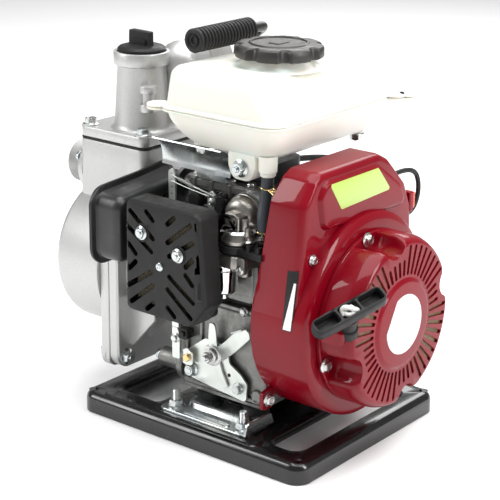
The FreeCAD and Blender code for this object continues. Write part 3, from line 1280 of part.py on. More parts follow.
def pump_top():
    """Gasket and lid; the lid carries the filler tube and the discharge elbow."""
    floor = value("gasket_floor") + 0.05
    upper = floor + value("gasket_thickness") - 0.1
    gasket = lid_plate(floor, upper)
    gasket = gasket.cut(solid_box((-196, -31, floor - 1), (-127, 47, upper + 1)))
    x, y = value("priming_x"), value("priming_y")
    out_x, out_y, out_z = value("outlet_x"), value("outlet_y"), value("outlet_z")
    low = upper + 0.05
    high = low + value("lid_thickness")
    top, collar = value("priming_top"), value("collar_height")
    radius = value("priming_radius")
    lid = lid_plate(low, high)
    lid = lid.fuse(solid_rod((x, y, high - 1), (x, y, top - collar + 1), 29, radius))
    lid = lid.fuse(solid_rod((x, y, top - collar), (x, y, top), value("collar_radius")))
    lid = lid.fuse(solid_rod((out_x, out_y, high - 1), (out_x, out_y, out_z), 21))
    elbow = Part.makeSphere(23.5, VECTOR(out_x, out_y, out_z))
    lid = lid.fuse(elbow)
    end, thread = value("outlet_end"), value("thread_length")
    lid = lid.fuse(solid_rod((out_x, out_y, out_z), (out_x, end - thread, out_z), 22))
    lid = lid.fuse(solid_rod((out_x, end - thread, out_z), (out_x, end, out_z),
                             value("outlet_radius")))
    lid = lid.cut(solid_rod((x, y, low - 1), (x, y, top + 1), 19.5))
    lid = lid.cut(solid_rod((out_x, out_y, low - 1), (out_x, out_y, out_z), 16))
    lid = lid.cut(solid_rod((out_x, out_y, out_z), (out_x, end + 1, out_z),
                            value("port_radius")))
    lid = lid.cut(Part.makeSphere(19, VECTOR(out_x, out_y, out_z)))
    pieces = []
    for bolt_x, bolt_y in LID_BOLTS:
        lid = lid.cut(solid_rod((bolt_x, bolt_y, low - 1), (bolt_x, bolt_y, top + 20), 9.6)
                      .common(solid_box((-300, -100, high + 0.05), (0, 100, 300))))
        lid = lid.cut(solid_rod((bolt_x, bolt_y, low - 1), (bolt_x, bolt_y, high + 1), 4.3))
        gasket = gasket.cut(solid_rod((bolt_x, bolt_y, floor - 1), (bolt_x, bolt_y, high), 4.3))
        pieces.append(cap_screw((bolt_x, bolt_y, high + 0.1), (0, 0, -1), 3.3, 26, 6.6, 6.5, 8.9))
    for bolt_y, bolt_z in FLANGE_BOLTS:
        pieces.append(cap_screw((value("flange_left") - 0.1, bolt_y, bolt_z), (1, 0, 0),
                                4, 23, 6.6, 6.5, 8.9))
    shaped("pump_gasket", gasket)
    shaped("pump_top_cover", tidy(lid))
    shaped("pump_bolts", Part.makeCompound(pieces))
    plug = solid_rod((x, y, top - 15), (x, y, top + 0.5), 19.2)
    plug = plug.fuse(solid_rod((x, y, top + 0.3), (x, y, top + 6), 24.5, 23))
    plug = plug.fuse(solid_box((x - 14, y - 4.5, top + 5), (x + 14, y + 4.5, top + 20)))
    shaped("priming_plug", tidy(plug))


def pump_adapter():
    """Back plate of the pump with the housing that bolts to the crankcase."""
    left, right = value("flange_right") + 0.3, value("plate_right")
    half = value("flange_half")
    plate = solid_box((left, -half, 34), (right, half, CRANK_Z + half))
    form = upright_fillet(plate, 9, "X")
    end = value("cover_left") - value("seat_gap")
    form = form.fuse(solid_rod((right - 1, 0, CRANK_Z), (end, 0, CRANK_Z), 62, 46))
    for side in (-1, 1):
        form = form.fuse(prism("X", right - 1, 30, [(side * 20, 80), (side * 58, 50),
                                                    (side * 62, 60), (side * 26, 92)]))
    form = form.cut(solid_rod((right + 6, 0, CRANK_Z), (end + 1, 0, CRANK_Z), 52, 38))
    form = form.cut(solid_box((right + 0.5, -90, 162), (end + 1, -8, 300)))
    form = form.cut(solid_rod((left - 1, 0, CRANK_Z), (right + 8, 0, CRANK_Z), 18))
    for y, z in FLANGE_BOLTS:
        form = form.cut(solid_rod((left - 1, y, z), (right + 1, y, z), 4.2))
    shaped("pump_adapter", tidy(form))
    ring_form = solid_rod((-141, 0, CRANK_Z), (right - 0.5, 0, CRANK_Z), 17.9)
    ring_form = ring_form.cut(solid_rod((-142, 0, CRANK_Z), (right, 0, CRANK_Z), 10.05))
    shaped("mechanical_seal", ring_form)


def impeller():
    """Semi-open impeller: back disc, hub and swept vanes."""
    radius = value("impeller_radius")
    form = solid_rod((-147, 0, CRANK_Z), (-144, 0, CRANK_Z), radius)
    form = form.fuse(solid_rod((-165, 0, CRANK_Z), (-143.5, 0, CRANK_Z), 17))
    for number in range(int(value("impeller_vanes"))):
        vane = solid_box((-163, -2, 14), (-146.5, 2, 61))
        vane.rotate(VECTOR(0, 0, 16), VECTOR(1, 0, 0), 28)
        vane.translate(VECTOR(0, 0, CRANK_Z))
        vane = vane.common(solid_rod((-170, 0, CRANK_Z), (-140, 0, CRANK_Z), radius))
        vane.rotate(VECTOR(0, 0, CRANK_Z), VECTOR(1, 0, 0),
                    360.0 * number / value("impeller_vanes"))
        form = form.fuse(vane)
    form = form.cut(solid_rod((-175, 0, CRANK_Z), (-140, 0, CRANK_Z), 10.05))
    shaped("impeller", tidy(form))


def check_valve():
    """Rubber flap that hangs inside the suction port."""
    left = value("block_left") + 7.4
    form = solid_rod((left + 0.2, 0, value("suction_z") + 2),
                     (left + 3.2, 0, value("suction_z") + 2), 17.4)
    form = form.fuse(solid_box((left + 0.2, -15, 228), (left + 3.2, 15, 247)))
    form = form.fuse(solid_rod((left + 3.2, -15, 247), (left + 3.2, 15, 247), 3))
    shaped("check_valve", tidy(form))


# --------------------------------------------------------------- assembly

def build():
    base_frame()
    engine_brackets()
    bracket_studs()
    rubber_mounts()
    crankcase()
    crankcase_cover()
    cylinder_block()
    cylinder_head()
    rocker_cover()
    valves()
    ignition(*spark_plug())
    intake_elbow()
    crankshaft()
    main_bearings()
    camshaft()
    piston()
    connecting_rod()
    oil_filler_cap()
    flywheel()
    blower_housing()
    recoil_cover()
    recoil_bolts()
    starter_pulley()
    starter_handle()
    fuel_tank()
    fuel_cap()
    tank_fasteners()
    fuel_hose()
    heat_shield()
    carburettor()
    float_bowl()
    fuel_tap_lever()
    choke_lever()
    air_filter()
    silencer()
    throttle_controls()
    governor_lever()
    stop_switch()
    carry_handle()
    pump_casing()
    pump_top()
    pump_adapter()
    impeller()
    check_valve()


def check_states():
    DOC.recompute()
    for item in DOC.Objects:
        bad = [word for word in item.State if word in ("Invalid", "Error")]
        if bad:
            raise ValueError(item.Label + " is not up to date: " + str(item.State))


def move_to_origin():
    """Puts the middle of the bounding box, at floor level, on the origin."""
    boxes = [item.Shape.optimalBoundingBox(False) for item in SUBPARTS]
    shift_x = -(min(b.XMin for b in boxes) + max(b.XMax for b in boxes)) / 2
    shift_y = -(min(b.YMin for b in boxes) + max(b.YMax for b in boxes)) / 2
    shift = VECTOR(round(shift_x, 3), round(shift_y, 3), 0)
    for item in SUBPARTS:
        item.Placement = FreeCAD.Placement(shift, FreeCAD.Rotation()).multiply(item.Placement)
    DOC.recompute()
    print("origin shift", shift, "floor", min(b.ZMin for b in boxes))
    print("size", max(b.XMax for b in boxes) - min(b.XMin for b in boxes),
          max(b.YMax for b in boxes) - min(b.YMin for b in boxes),
          max(b.ZMax for b in boxes))


def export():
    os.makedirs("parts", exist_ok=True)
    for item in SUBPARTS:
        if item.Shape.isNull() or not item.Shape.isValid():
            raise ValueError("bad shape: " + item.Label)
    for item in SUBPARTS:
        item.Shape.exportStep("parts/" + item.Label + ".step")
    print(len(SUBPARTS), "sub-parts")


build()
check_states()
move_to_origin()
export()
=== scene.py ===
import json
import math

import bmesh
import bpy
from mathutils import Matrix, Vector, noise
from mathutils.geometry import delaunay_2d_cdt


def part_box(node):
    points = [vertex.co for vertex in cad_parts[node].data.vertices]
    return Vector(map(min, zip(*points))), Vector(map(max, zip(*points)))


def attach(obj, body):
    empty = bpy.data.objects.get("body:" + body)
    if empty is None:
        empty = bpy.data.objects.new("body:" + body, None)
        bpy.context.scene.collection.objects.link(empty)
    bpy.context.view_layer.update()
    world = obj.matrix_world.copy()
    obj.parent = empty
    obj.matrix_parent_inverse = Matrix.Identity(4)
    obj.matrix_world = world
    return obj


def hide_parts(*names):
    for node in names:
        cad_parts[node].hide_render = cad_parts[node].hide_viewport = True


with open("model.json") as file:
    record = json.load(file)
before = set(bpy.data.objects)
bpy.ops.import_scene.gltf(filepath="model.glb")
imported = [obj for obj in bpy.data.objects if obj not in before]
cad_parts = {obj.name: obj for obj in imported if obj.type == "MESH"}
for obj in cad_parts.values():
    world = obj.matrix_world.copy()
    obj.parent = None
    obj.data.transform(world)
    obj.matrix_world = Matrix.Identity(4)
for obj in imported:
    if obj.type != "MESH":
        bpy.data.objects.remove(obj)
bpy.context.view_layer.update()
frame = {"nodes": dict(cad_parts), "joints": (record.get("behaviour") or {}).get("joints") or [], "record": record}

# All pieces are drawn in millimetres about the crank axis: x along the crank
# toward the starter, y away from the carburettor side, z up from the floor.
MM = 0.001
CRANK_PLACE = [joint for joint in frame["joints"] if joint["name"] == "crank_turn"][0]["pos_m"]
SHIFT = Vector((CRANK_PLACE[0], CRANK_PLACE[1], 0.0))
CRANK_Z = CRANK_PLACE[2] / MM

# Directions, as seen from the carburettor side with the starter on the right.
RIGHT, LEFT, FRONT, BACK, UP = (1, 0, 0), (-1, 0, 0), (0, -1, 0), (0, 1, 0), (0, 0, 1)


def local_box(node):
    """A CAD node's corners in the millimetre frame of this script."""
    low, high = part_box(node)
    return (low - SHIFT) / MM, (high - SHIFT) / MM


# -------------------------------------------------------------- materials

EVEN = (1, 1, 1)
PAINT = {}


def node_of(tree, kind, **values):
    """A new shader node with its inputs set."""
    node = tree.nodes.new(kind)
    for name, value in values.items():
        node.inputs[name].default_value = value
    return node


def shader_of(material):
    return material.node_tree.nodes["Principled BSDF"]


def place_on(tree, stretch=EVEN):
    """Object coordinates, stretched where the grain runs one way."""
    coordinates = node_of(tree, "ShaderNodeTexCoord")
    mapping = node_of(tree, "ShaderNodeMapping", Scale=stretch)
    tree.links.new(coordinates.outputs["Object"], mapping.inputs["Vector"])
    return mapping.outputs["Vector"]


def noise_at(tree, scale, detail, stretch=EVEN):
    """Noise over the object's own coordinates."""
    texture = node_of(tree, "ShaderNodeTexNoise", Scale=scale, Detail=detail)
    tree.links.new(place_on(tree, stretch), texture.inputs["Vector"])
    return texture.outputs["Fac"]


def mottle(material, scale, other, low=0.35, high=0.7):
    """Drifts the colour between the base colour and another one."""
    tree = material.node_tree
    base = shader_of(material).inputs["Base Color"]
    ramp = node_of(tree, "ShaderNodeValToRGB")
    first, last = ramp.color_ramp.elements
    first.position, first.color = low, base.default_value
    last.position, last.color = high, (*other, 1)
    tree.links.new(noise_at(tree, scale, 4), ramp.inputs["Fac"])
    tree.links.new(ramp.outputs["Color"], base)


def vary_gloss(material, scale, low, high, stretch=EVEN):
    """Lets the roughness drift between two values."""
    tree = material.node_tree
    spread = node_of(tree, "ShaderNodeMapRange")
    for socket, value in (("From Min", 0.3), ("From Max", 0.7), ("To Min", low),
                          ("To Max", high)):
        spread.inputs[socket].default_value = value
    tree.links.new(noise_at(tree, scale, 4, stretch), spread.inputs["Value"])
    tree.links.new(spread.outputs["Result"], shader_of(material).inputs["Roughness"])


def bumps(material, layers):
    """Adds bump layers, each (scale, strength, depth in mm) and maybe a stretch."""
    tree = material.node_tree
    normal = None
    for scale, strength, depth, *stretch in layers:
        bump = node_of(tree, "ShaderNodeBump", Strength=strength, Distance=depth * MM)
        tree.links.new(noise_at(tree, scale, 3, *stretch), bump.inputs["Height"])
        if normal:
            tree.links.new(normal, bump.inputs["Normal"])
        normal = bump.outputs["Normal"]
    tree.links.new(normal, shader_of(material).inputs["Normal"])


def pores(material, scale, strength, depth):
    """Cell-shaped pits, for foam."""
    tree = material.node_tree
    cells = node_of(tree, "ShaderNodeTexVoronoi", Scale=scale)
    tree.links.new(place_on(tree), cells.inputs["Vector"])
    bump = node_of(tree, "ShaderNodeBump", Strength=strength, Distance=depth * MM)
    tree.links.new(cells.outputs["Distance"], bump.inputs["Height"])
    tree.links.new(bump.outputs["Normal"], shader_of(material).inputs["Normal"])


def paint(name, colour, roughness, metallic=0.0, mottled=(), gloss=(), relief=(), pits=(),
          **sockets):
    """Adds a principled material to PAINT, with what mottle and the rest need.

    The other keyword values go straight on the shader's own sockets.
    """
    material = PAINT[name] = bpy.data.materials.new(name)
    material.use_nodes = True
    sockets.update(Base_Color=(*colour, 1), Roughness=roughness, Metallic=metallic)
    for socket, value in sockets.items():
        shader_of(material).inputs[socket.replace("_", " ")].default_value = value
    if mottled:
        mottle(material, *mottled)
    if gloss:
        vary_gloss(material, *gloss)
    if relief:
        bumps(material, relief)
    if pits:
        pores(material, *pits)


paint("red_enamel", (0.21, 0.0003, 0.008), 0.36, mottled=(9, (0.17, 0.0003, 0.0065)),
      relief=[(60, 0.05, 0.3), (900, 0.04, 0.05)], Coat_Weight=0.4, Coat_Roughness=0.03,
      Specular_IOR_Level=0.1)
paint("black_enamel", (0.004, 0.004, 0.0045), 0.22, gloss=(30, 0.16, 0.30),
      relief=[(70, 0.06, 0.3), (700, 0.06, 0.06)], Coat_Weight=0.35, Coat_Roughness=0.08)
paint("tank_plastic", (0.82, 0.805, 0.735), 0.34, gloss=(40, 0.28, 0.42),
      relief=[(45, 0.06, 0.5), (1400, 0.08, 0.05)], Subsurface_Weight=0.25,
      Subsurface_Scale=0.01, Coat_Weight=0.15, Coat_Roughness=0.25)
paint("cast_aluminium", (0.60, 0.60, 0.59), 0.42, 0.75, gloss=(1500, 0.30, 0.58),
      mottled=(2600, (0.44, 0.44, 0.44), 0.42, 0.62),
      relief=[(1500, 0.30, 0.12), (60, 0.10, 0.6)])
paint("crankcase_aluminium", (0.25, 0.25, 0.24), 0.42, 0.9, mottled=(120, (0.19, 0.19, 0.18)),
      gloss=(300, 0.36, 0.58), relief=[(900, 0.35, 0.15), (55, 0.12, 0.8)])
paint("carb_metal", (0.40, 0.38, 0.35), 0.34, 0.9, mottled=(150, (0.28, 0.265, 0.24)),
      relief=[(1200, 0.30, 0.12), (80, 0.1, 0.5)])
paint("zinc_plate", (0.62, 0.64, 0.62), 0.24, 1.0, mottled=(30, (0.50, 0.54, 0.56)),
      gloss=(40, 0.20, 0.34), relief=[(60, 0.04, 0.1)])
paint("pale_zinc", (0.72, 0.74, 0.71), 0.34, 0.8, mottled=(60, (0.62, 0.66, 0.62)),
      relief=[(420, 0.10, 0.06, (5, 1, 1))])
paint("steel", (0.55, 0.55, 0.54), 0.28, 1.0, gloss=(200, 0.2, 0.38, (8, 1, 1)),
      relief=[(700, 0.1, 0.05, (8, 1, 1))])
paint("chrome_steel", (0.82, 0.82, 0.82), 0.07, 1.0, gloss=(40, 0.04, 0.12),
      relief=[(50, 0.06, 0.3)])
paint("black_steel", (0.012, 0.012, 0.0125), 0.34, gloss=(60, 0.26, 0.46),
      relief=[(40, 0.10, 0.8), (1200, 0.18, 0.08)], Coat_Weight=0.2, Coat_Roughness=0.3)
paint("cap_plastic", (0.024, 0.022, 0.020), 0.40, gloss=(100, 0.32, 0.50),
      relief=[(1800, 0.2, 0.07)])
paint("hose_rubber", (0.036, 0.042, 0.050), 0.45, gloss=(150, 0.36, 0.54),
      relief=[(900, 0.15, 0.1, (1, 1, 0.2))])
paint("foam", (0.16, 0.14, 0.095), 0.95, mottled=(700, (0.07, 0.06, 0.04)),
      pits=(650, 0.9, 1.2))
paint("rope_cord", (0.80, 0.79, 0.76), 0.8, mottled=(900, (0.62, 0.61, 0.58)),
      relief=[(1200, 0.6, 0.4, (1, 1, 3))], Sheen_Weight=0.3)
paint("brass_wire", (0.72, 0.52, 0.24), 0.22, 1.0, relief=[(700, 0.08, 0.05)])
paint("starter_inside", (0.30, 0.23, 0.13), 0.6, mottled=(90, (0.18, 0.13, 0.07)),
      relief=[(500, 0.3, 0.2)])
paint("red_plastic", (0.78, 0.07, 0.015), 0.3, relief=[(900, 0.1, 0.05)], Coat_Weight=0.3)
# Near-black; on the ring in the seam between the drum and the starter cover it is painted shade.
paint("dark_inside", (0.015, 0.014, 0.013), 0.7, relief=[(400, 0.3, 0.3)])
paint("bronze", (0.50, 0.33, 0.14), 0.35, 1.0, mottled=(90, (0.38, 0.24, 0.10)),
      relief=[(800, 0.3, 0.12)])
paint("ceramic", (0.85, 0.84, 0.80), 0.15, relief=[(300, 0.05, 0.05)], Coat_Weight=0.4)
paint("floor_sheet", (0.96, 0.96, 0.96), 0.7, relief=[(3, 0.02, 0.2)])
for dark in ("black_plastic", "copper_coil"):
    paint(dark, (0.014, 0.0135, 0.0135), 0.46, gloss=(120, 0.38, 0.56),
          relief=[(1600, 0.25, 0.08), (50, 0.06, 0.5)], Specular_IOR_Level=0.25)
for soft in ("rubber", "gasket_fibre"):
    paint(soft, (0.014, 0.014, 0.014), 0.52, gloss=(200, 0.42, 0.62),
          relief=[(1300, 0.25, 0.1)], Specular_IOR_Level=0.3)
for label, tint in (("white_label", (0.86, 0.86, 0.85)), ("green_label", (0.45, 0.62, 0.11))):
    paint(label, tint, 0.32, relief=[(80, 0.05, 0.1)], Coat_Weight=0.5, Coat_Roughness=0.12)


def paint_carried_nodes():
    """Gives every CAD node its own material, for those that stay in view."""
    for entry in frame["record"]["subparts"]:
        node = frame["nodes"][entry["node"]]
        node.data.materials.clear()
        node.data.materials.append(PAINT[entry["material_slot"]])


# ------------------------------------------------------------- mesh tools

def arc(centre, radius, start, end, steps):
    """Points on an arc in a plane, angles in degrees."""
    points = []
    for step in range(steps + 1):
        angle = math.radians(start + (end - start) * step / steps)
        points.append((centre[0] + radius * math.cos(angle),
                       centre[1] + radius * math.sin(angle)))
    return points


def rounded(corners, radius, steps=6):
    """A closed outline with its corners rounded; radius may be one per corner."""
    count = len(corners)
    radii = radius if isinstance(radius, (list, tuple)) else [radius] * count
    outline = []
    for number in range(count):
        corner = Vector(corners[number])
        back = (Vector(corners[number - 1]) - corner)
        ahead = (Vector(corners[(number + 1) % count]) - corner)
        half = back.angle(ahead) / 2
        reach = min(radii[number] / math.tan(half), 0.49 * min(back.length, ahead.length))
        size = reach * math.tan(half)
        if size < 0.05:
            outline.append(tuple(corner))
            continue
        first = corner + back.normalized() * reach
        last = corner + ahead.normalized() * reach
        middle = corner + (back.normalized() + ahead.normalized()).normalized() * (
            size / math.sin(half))
        for step in range(steps + 1):
            t = step / steps
            spoke = (first - middle).lerp(last - middle, t)
            if spoke.length < 1e-6:
                continue
            outline.append(tuple(middle + spoke.normalized() * size))
    return outline


def block_outline(low, high, radius, steps=6):
    """A rectangle with rounded corners."""
    return rounded([(low[0], low[1]), (high[0], low[1]), (high[0], high[1]),
                    (low[0], high[1])], radius, steps)


def circle_outline(centre, radius, steps=32):
    return arc(centre, radius, 0, 360 * (steps - 1) / steps, steps - 1)


def slot_outline(start, end, radius, steps=8):
    """A round-ended slot between two points."""
    start, end = Vector(start), Vector(end)
    heading = math.degrees(math.atan2(end.y - start.y, end.x - start.x))
    return (arc(start, radius, heading + 90, heading + 270, steps)
            + arc(end, radius, heading - 90, heading + 90, steps))


def on_axis(axis, along, first, second):
    """Puts an outline's point and its place along the axis into x, y and z."""
    return {"X": Vector((along, first, second)), "Y": Vector((first, along, second)),
            "Z": Vector((first, second, along))}[axis]


def polar(radius, degrees, x=0.0):
    """A point at an angle about the crank axis, from +y toward +z."""
    angle = math.radians(degrees)
    return Vector((x, radius * math.cos(angle), CRANK_Z + radius * math.sin(angle)))


def turn_steps(steps):
    """The angles, in radians, of equal steps around a full turn."""
    return [2 * math.pi * step / steps for step in range(steps)]


def turn_to(direction):
    """The rotation that takes the z axis to a direction."""
    return Vector(UP).rotation_difference(Vector(direction)).to_matrix()


def inside(point, spots, edges):
    """Whether a ray from the point crosses the loops an odd number of times."""
    within = False
    for first, second in edges:
        x1, y1 = spots[first]
        x2, y2 = spots[second]
        if (y1 > point.y) != (y2 > point.y):
            if point.x < (x2 - x1) * (point.y - y1) / (y2 - y1) + x1:
                within = not within
    return within


HEX_EDGE = 0.7


class Form:
    """Collects closed shapes, in millimetres, for one piece."""

    def __init__(self):
        self.mesh = bmesh.new()

    def face(self, corners):
        """Adds a face, unless the mesh has it already."""
        try:
            self.mesh.faces.new(corners)
        except ValueError:
            pass

    def loop(self, points):
        return [self.mesh.verts.new(Vector(point)) for point in points]

    def bridge(self, first, second):
        count = len(first)
        for number in range(count):
            following = (number + 1) % count
            self.face((first[number], first[following], second[following], second[number]))

    def stack(self, loops, caps=(True, True)):
        """Joins loops of equal length one after the other."""
        rings = [self.loop(points) for points in loops]
        for first, second in zip(rings, rings[1:]):
            self.bridge(first, second)
        if caps[0]:
            self.face(rings[0][::-1])
        if caps[1]:
            self.face(rings[-1])
        return rings

    def layers(self, axis, outline, rows, caps=(True, True)):
        """Stacks an outline along an axis, each row being (along, inset)."""
        return self.stack(levels(axis, outline, rows), caps)

    def fill(self, outlines):
        """Fills the flat space between an outer loop and the holes in it."""
        verts = [vert for ring in outlines for vert in ring]
        outer = outlines[0]
        normal = Vector()
        for number, vert in enumerate(outer):
            normal += outer[number - 1].co.cross(vert.co)
        across = normal.orthogonal().normalized()
        up = normal.normalized().cross(across)
        flat = [Vector((vert.co.dot(across), vert.co.dot(up))) for vert in verts]
        edges, start = [], 0
        for ring in outlines:
            count = len(ring)
            edges += [(start + k, start + (k + 1) % count) for k in range(count)]
            start += count
        made = delaunay_2d_cdt(flat, edges, [], 0, 1e-5)
        origin = [came[0] if came else None for came in made[3]]
        for corners in made[2]:
            picked = [origin[corner] for corner in corners]
            if None in picked:
                continue
            middle = sum((flat[number] for number in picked), Vector((0, 0))) / len(picked)
            if inside(middle, flat, edges):
                self.face([verts[number] for number in picked])

    def plate(self, axis, start, end, outline, holes=()):
        """A flat plate with holes, its outline in the plane across the axis."""
        sides = []
        for along in (start, end):
            rings = [self.loop([on_axis(axis, along, *point) for point in ring])
                     for ring in (outline, *holes)]
            sides.append(rings)
            self.fill(rings)
        for first, second in zip(*sides):
            self.bridge(first, second)

    def lathe(self, origin, direction, profile, steps=48, closed=False):
        """Turns a profile of (along, radius) about a line through origin."""
        turn = turn_to(direction)
        origin = Vector(origin)
        rings = []
        for along, radius in profile:
            if radius < 1e-6:
                rings.append([self.mesh.verts.new(origin + turn @ Vector((0, 0, along)))])
                continue
            rings.append(self.loop([
                origin + turn @ Vector((radius * math.cos(angle), radius * math.sin(angle), along))
                for angle in turn_steps(steps)]))
        pairs = list(zip(rings, rings[1:]))
        if closed:
            pairs.append((rings[-1], rings[0]))
        for first, second in pairs:
            self.join_rings(first, second)
        if not closed:
            for ring, flip in ((rings[0], True), (rings[-1], False)):
                if len(ring) > 1:
                    self.face(ring[::-1] if flip else ring)

    def join_rings(self, first, second):
        """Bridges two rings, either of which may be a single point."""
        if len(first) == 1 and len(second) == 1:
            return
        count = max(len(first), len(second))
        for number in range(count):
            following = (number + 1) % count
            if len(first) == 1:
                self.face((first[0], second[following], second[number]))
            elif len(second) == 1:
                self.face((first[number], first[following], second[0]))
            else:
                self.face((first[number], first[following], second[following],
                           second[number]))

    def rod(self, start, end, radius, end_radius=None, steps=32, edge=0.0):
        """A round bar; edge rounds both of its rims."""
        start, end = Vector(start), Vector(end)
        length = (end - start).length
        last = radius if end_radius is None else end_radius
        if edge:
            profile = [(0, radius - edge), (0.3 * edge, radius - 0.3 * edge), (edge, radius),
                       (length - edge, last), (length - 0.3 * edge, last - 0.3 * edge),
                       (length, last - edge)]
        else:
            profile = [(0, radius), (length, last)]
        self.lathe(start, end - start, profile, steps)

    def box(self, low, high, axis="Z", edge=0.0):
        """A block with the edges that run along one axis rounded."""
        outline = {"Z": block_outline(low[:2], high[:2], edge),
                   "Y": block_outline((low[0], low[2]), (high[0], high[2]), edge),
                   "X": block_outline(low[1:], high[1:], edge)}[axis]
        along = {"X": 0, "Y": 1, "Z": 2}[axis]
        self.plate(axis, low[along], high[along], outline)

    def pipe(self, points, radius, steps=12, resolution=6):
        """A round tube along a smooth line through given points."""
        self.follow(smooth_line(points, resolution), radius, steps)

    def follow(self, line, radius, steps=8):
        """A round tube along a line, with no twist from one ring to the next."""
        loops = []
        previous = None
        for number, point in enumerate(line):
            before, after = line[max(number - 1, 0)], line[min(number + 1, len(line) - 1)]
            heading = (after - before).normalized()
            if previous is None:
                aside = heading.orthogonal().normalized()
            else:
                aside = (previous - heading * previous.dot(heading)).normalized()
            previous = aside
            other = heading.cross(aside)
            loops.append([point + aside * radius * math.cos(angle)
                          + other * radius * math.sin(angle) for angle in turn_steps(steps)])
        self.stack(loops)

    def hexagon(self, start, end, size):
        """A hexagon across its corners, with its far rim chamfered to a circle."""
        start, end = Vector(start), Vector(end)
        run = end - start
        turn = turn_to(run)
        loops = []
        sector = math.pi / 3
        for along, radius in ((0, size), (run.length - HEX_EDGE, size),
                              (run.length, size - HEX_EDGE)):
            ring = []
            for angle in turn_steps(24):
                flat = size * math.cos(sector / 2) / math.cos(angle % sector - sector / 2)
                reach = min(flat, radius) if along > run.length - 2 * HEX_EDGE else flat
                ring.append(start + turn @ Vector((reach * math.cos(angle),
                                                   reach * math.sin(angle), along)))
            loops.append(ring)
        self.stack(loops)

    def thread(self, start, end, radius, pitch=1.25, depth=0.6):
        """Ridges that read as a screw thread."""
        start, end = Vector(start), Vector(end)
        length = (end - start).length
        profile = [(0, radius - depth)]
        turns = max(1, int(length / pitch))
        for number in range(turns):
            profile.append((pitch * (number + 0.25), radius))
            profile.append((pitch * (number + 0.75), radius - depth))
        profile.append((length, radius - depth))
        self.lathe(start, end - start, profile, 24)

    def flanged_hexagon(self, seat, direction, flange, flat, height, cone):
        """A hexagon on a round flange that rises to it as a cone."""
        self.lathe(seat, direction, [(0, flange - 0.3), (0.4, flange), (1.1, flange),
                                     (cone, flat * 0.98), (cone + 0.4, flat * 0.9)], 40)
        self.hexagon(seat + direction * 1.2, seat + direction * height, flat)

    def flange_nut(self, seat, direction, flange, flat, height, stud=0.0, stud_radius=3.0):
        """A flange nut on its seat, with the threaded stud end out of its top."""
        seat, direction = Vector(seat), Vector(direction).normalized()
        self.flanged_hexagon(seat, direction, flange, flat, height, 2.0)
        if stud:
            top = seat + direction * height
            self.thread(top - direction * 0.5, top + direction * stud, stud_radius)

    def hex_screw(self, seat, direction, flange, flat, height):
        """A flange screw head with a dished top."""
        seat, direction = Vector(seat), Vector(direction).normalized()
        self.flanged_hexagon(seat, direction, flange, flat, height, 1.8)
        top = seat + direction * (height - 0.02)
        self.lathe(top, direction, [(0, flat * 0.62), (0.25, flat * 0.60), (0.05, flat * 0.5),
                                    (-0.2, 0)], 24)

    def ball(self, centre, radius, steps=20):
        profile = [(-radius * math.cos(math.pi * k / 10), radius * math.sin(math.pi * k / 10))
                   for k in range(11)]
        self.lathe(centre, UP, profile, steps)


def smooth_line(points, resolution=6):
    """A Catmull-Rom line through the points."""
    points = [Vector(point) for point in points]
    ends = [2 * points[0] - points[1], *points, 2 * points[-1] - points[-2]]
    line = []
    for p0, p1, p2, p3 in zip(ends, ends[1:], ends[2:], ends[3:]):
        for step in range(resolution):
            t = step / resolution
            line.append(0.5 * ((2 * p1) + (p2 - p0) * t
                               + (2 * p0 - 5 * p1 + 4 * p2 - p3) * t * t
                               + (3 * p1 - p0 - 3 * p2 + p3) * t ** 3))
    return line + [points[-1]]


WELD_GAP, BEVEL_ANGLE = 1e-4, 35


def piece(name, form, paint_name, body="machine", stands_for=None, bevel=0.0, sharp=32,
          bend=None):
    """Turns a form into an object in the row frame, on its body."""
    bmesh.ops.remove_doubles(form.mesh, verts=form.mesh.verts, dist=WELD_GAP)
    bmesh.ops.recalc_face_normals(form.mesh, faces=form.mesh.faces)
    if bend:
        for vert in form.mesh.verts:
            vert.co = bend(vert.co)
    mesh = bpy.data.meshes.new(name)
    form.mesh.to_mesh(mesh)
    form.mesh.free()
    mesh.transform(Matrix.Translation(SHIFT) @ Matrix.Scale(MM, 4))
    mesh.materials.append(PAINT[paint_name])
    made = bpy.data.objects.new(name, mesh)
    bpy.context.scene.collection.objects.link(made)
    if bevel:
        rounding = made.modifiers.new("rounding", "BEVEL")
        rounding.width = bevel * MM
        rounding.segments = 2
        rounding.limit_method = "ANGLE"
        rounding.angle_limit = math.radians(BEVEL_ANGLE)
    mesh.shade_smooth()
    mesh.set_sharp_from_angle(angle=math.radians(sharp))
    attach(made, body)
    if stands_for:
        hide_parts(stands_for)


def inset(outline, distance):
    """Moves a closed outline inward, or outward where distance is negative."""
    count = len(outline)
    area = sum(outline[k - 1][0] * outline[k][1] - outline[k][0] * outline[k - 1][1]
               for k in range(count))
    turn = 1 if area > 0 else -1
    moved = []
    for number in range(count):
        point = Vector(outline[number])
        back = (point - Vector(outline[number - 1])).normalized()
        ahead = (Vector(outline[(number + 1) % count]) - point).normalized()
        inward = Vector((-(back.y + ahead.y), back.x + ahead.x)) * turn
        if inward.length < 1e-6:
            moved.append(tuple(point))
            continue
        inward.normalize()
        lean = max(0.5, abs(inward.dot(Vector((-back.y, back.x)))))
        moved.append(tuple(point + inward * distance / lean))
    return moved


def dense(outline, gap):
    """The outline with extra points so that no step is longer than gap."""
    fine = []
    for number, point in enumerate(outline):
        start, end = Vector(point), Vector(outline[(number + 1) % len(outline)])
        steps = max(1, int((end - start).length / gap))
        fine += [tuple(start.lerp(end, step / steps)) for step in range(steps)]
    return fine


def sheet_rows(start, end):
    """Rows of a thin sheet between two places, with its edges eased."""
    return [(start, 0.3), (start + 0.4, 0), (end - 0.4, 0), (end, 0.3)]


def levels(axis, outline, rows):
    """Loops for a stack, each row being (along the axis, inset)."""
    return [[on_axis(axis, along, *point) for point in inset(outline, depth)]
            for along, depth in rows]


# --------------------------------------------------- blower and recoil starter

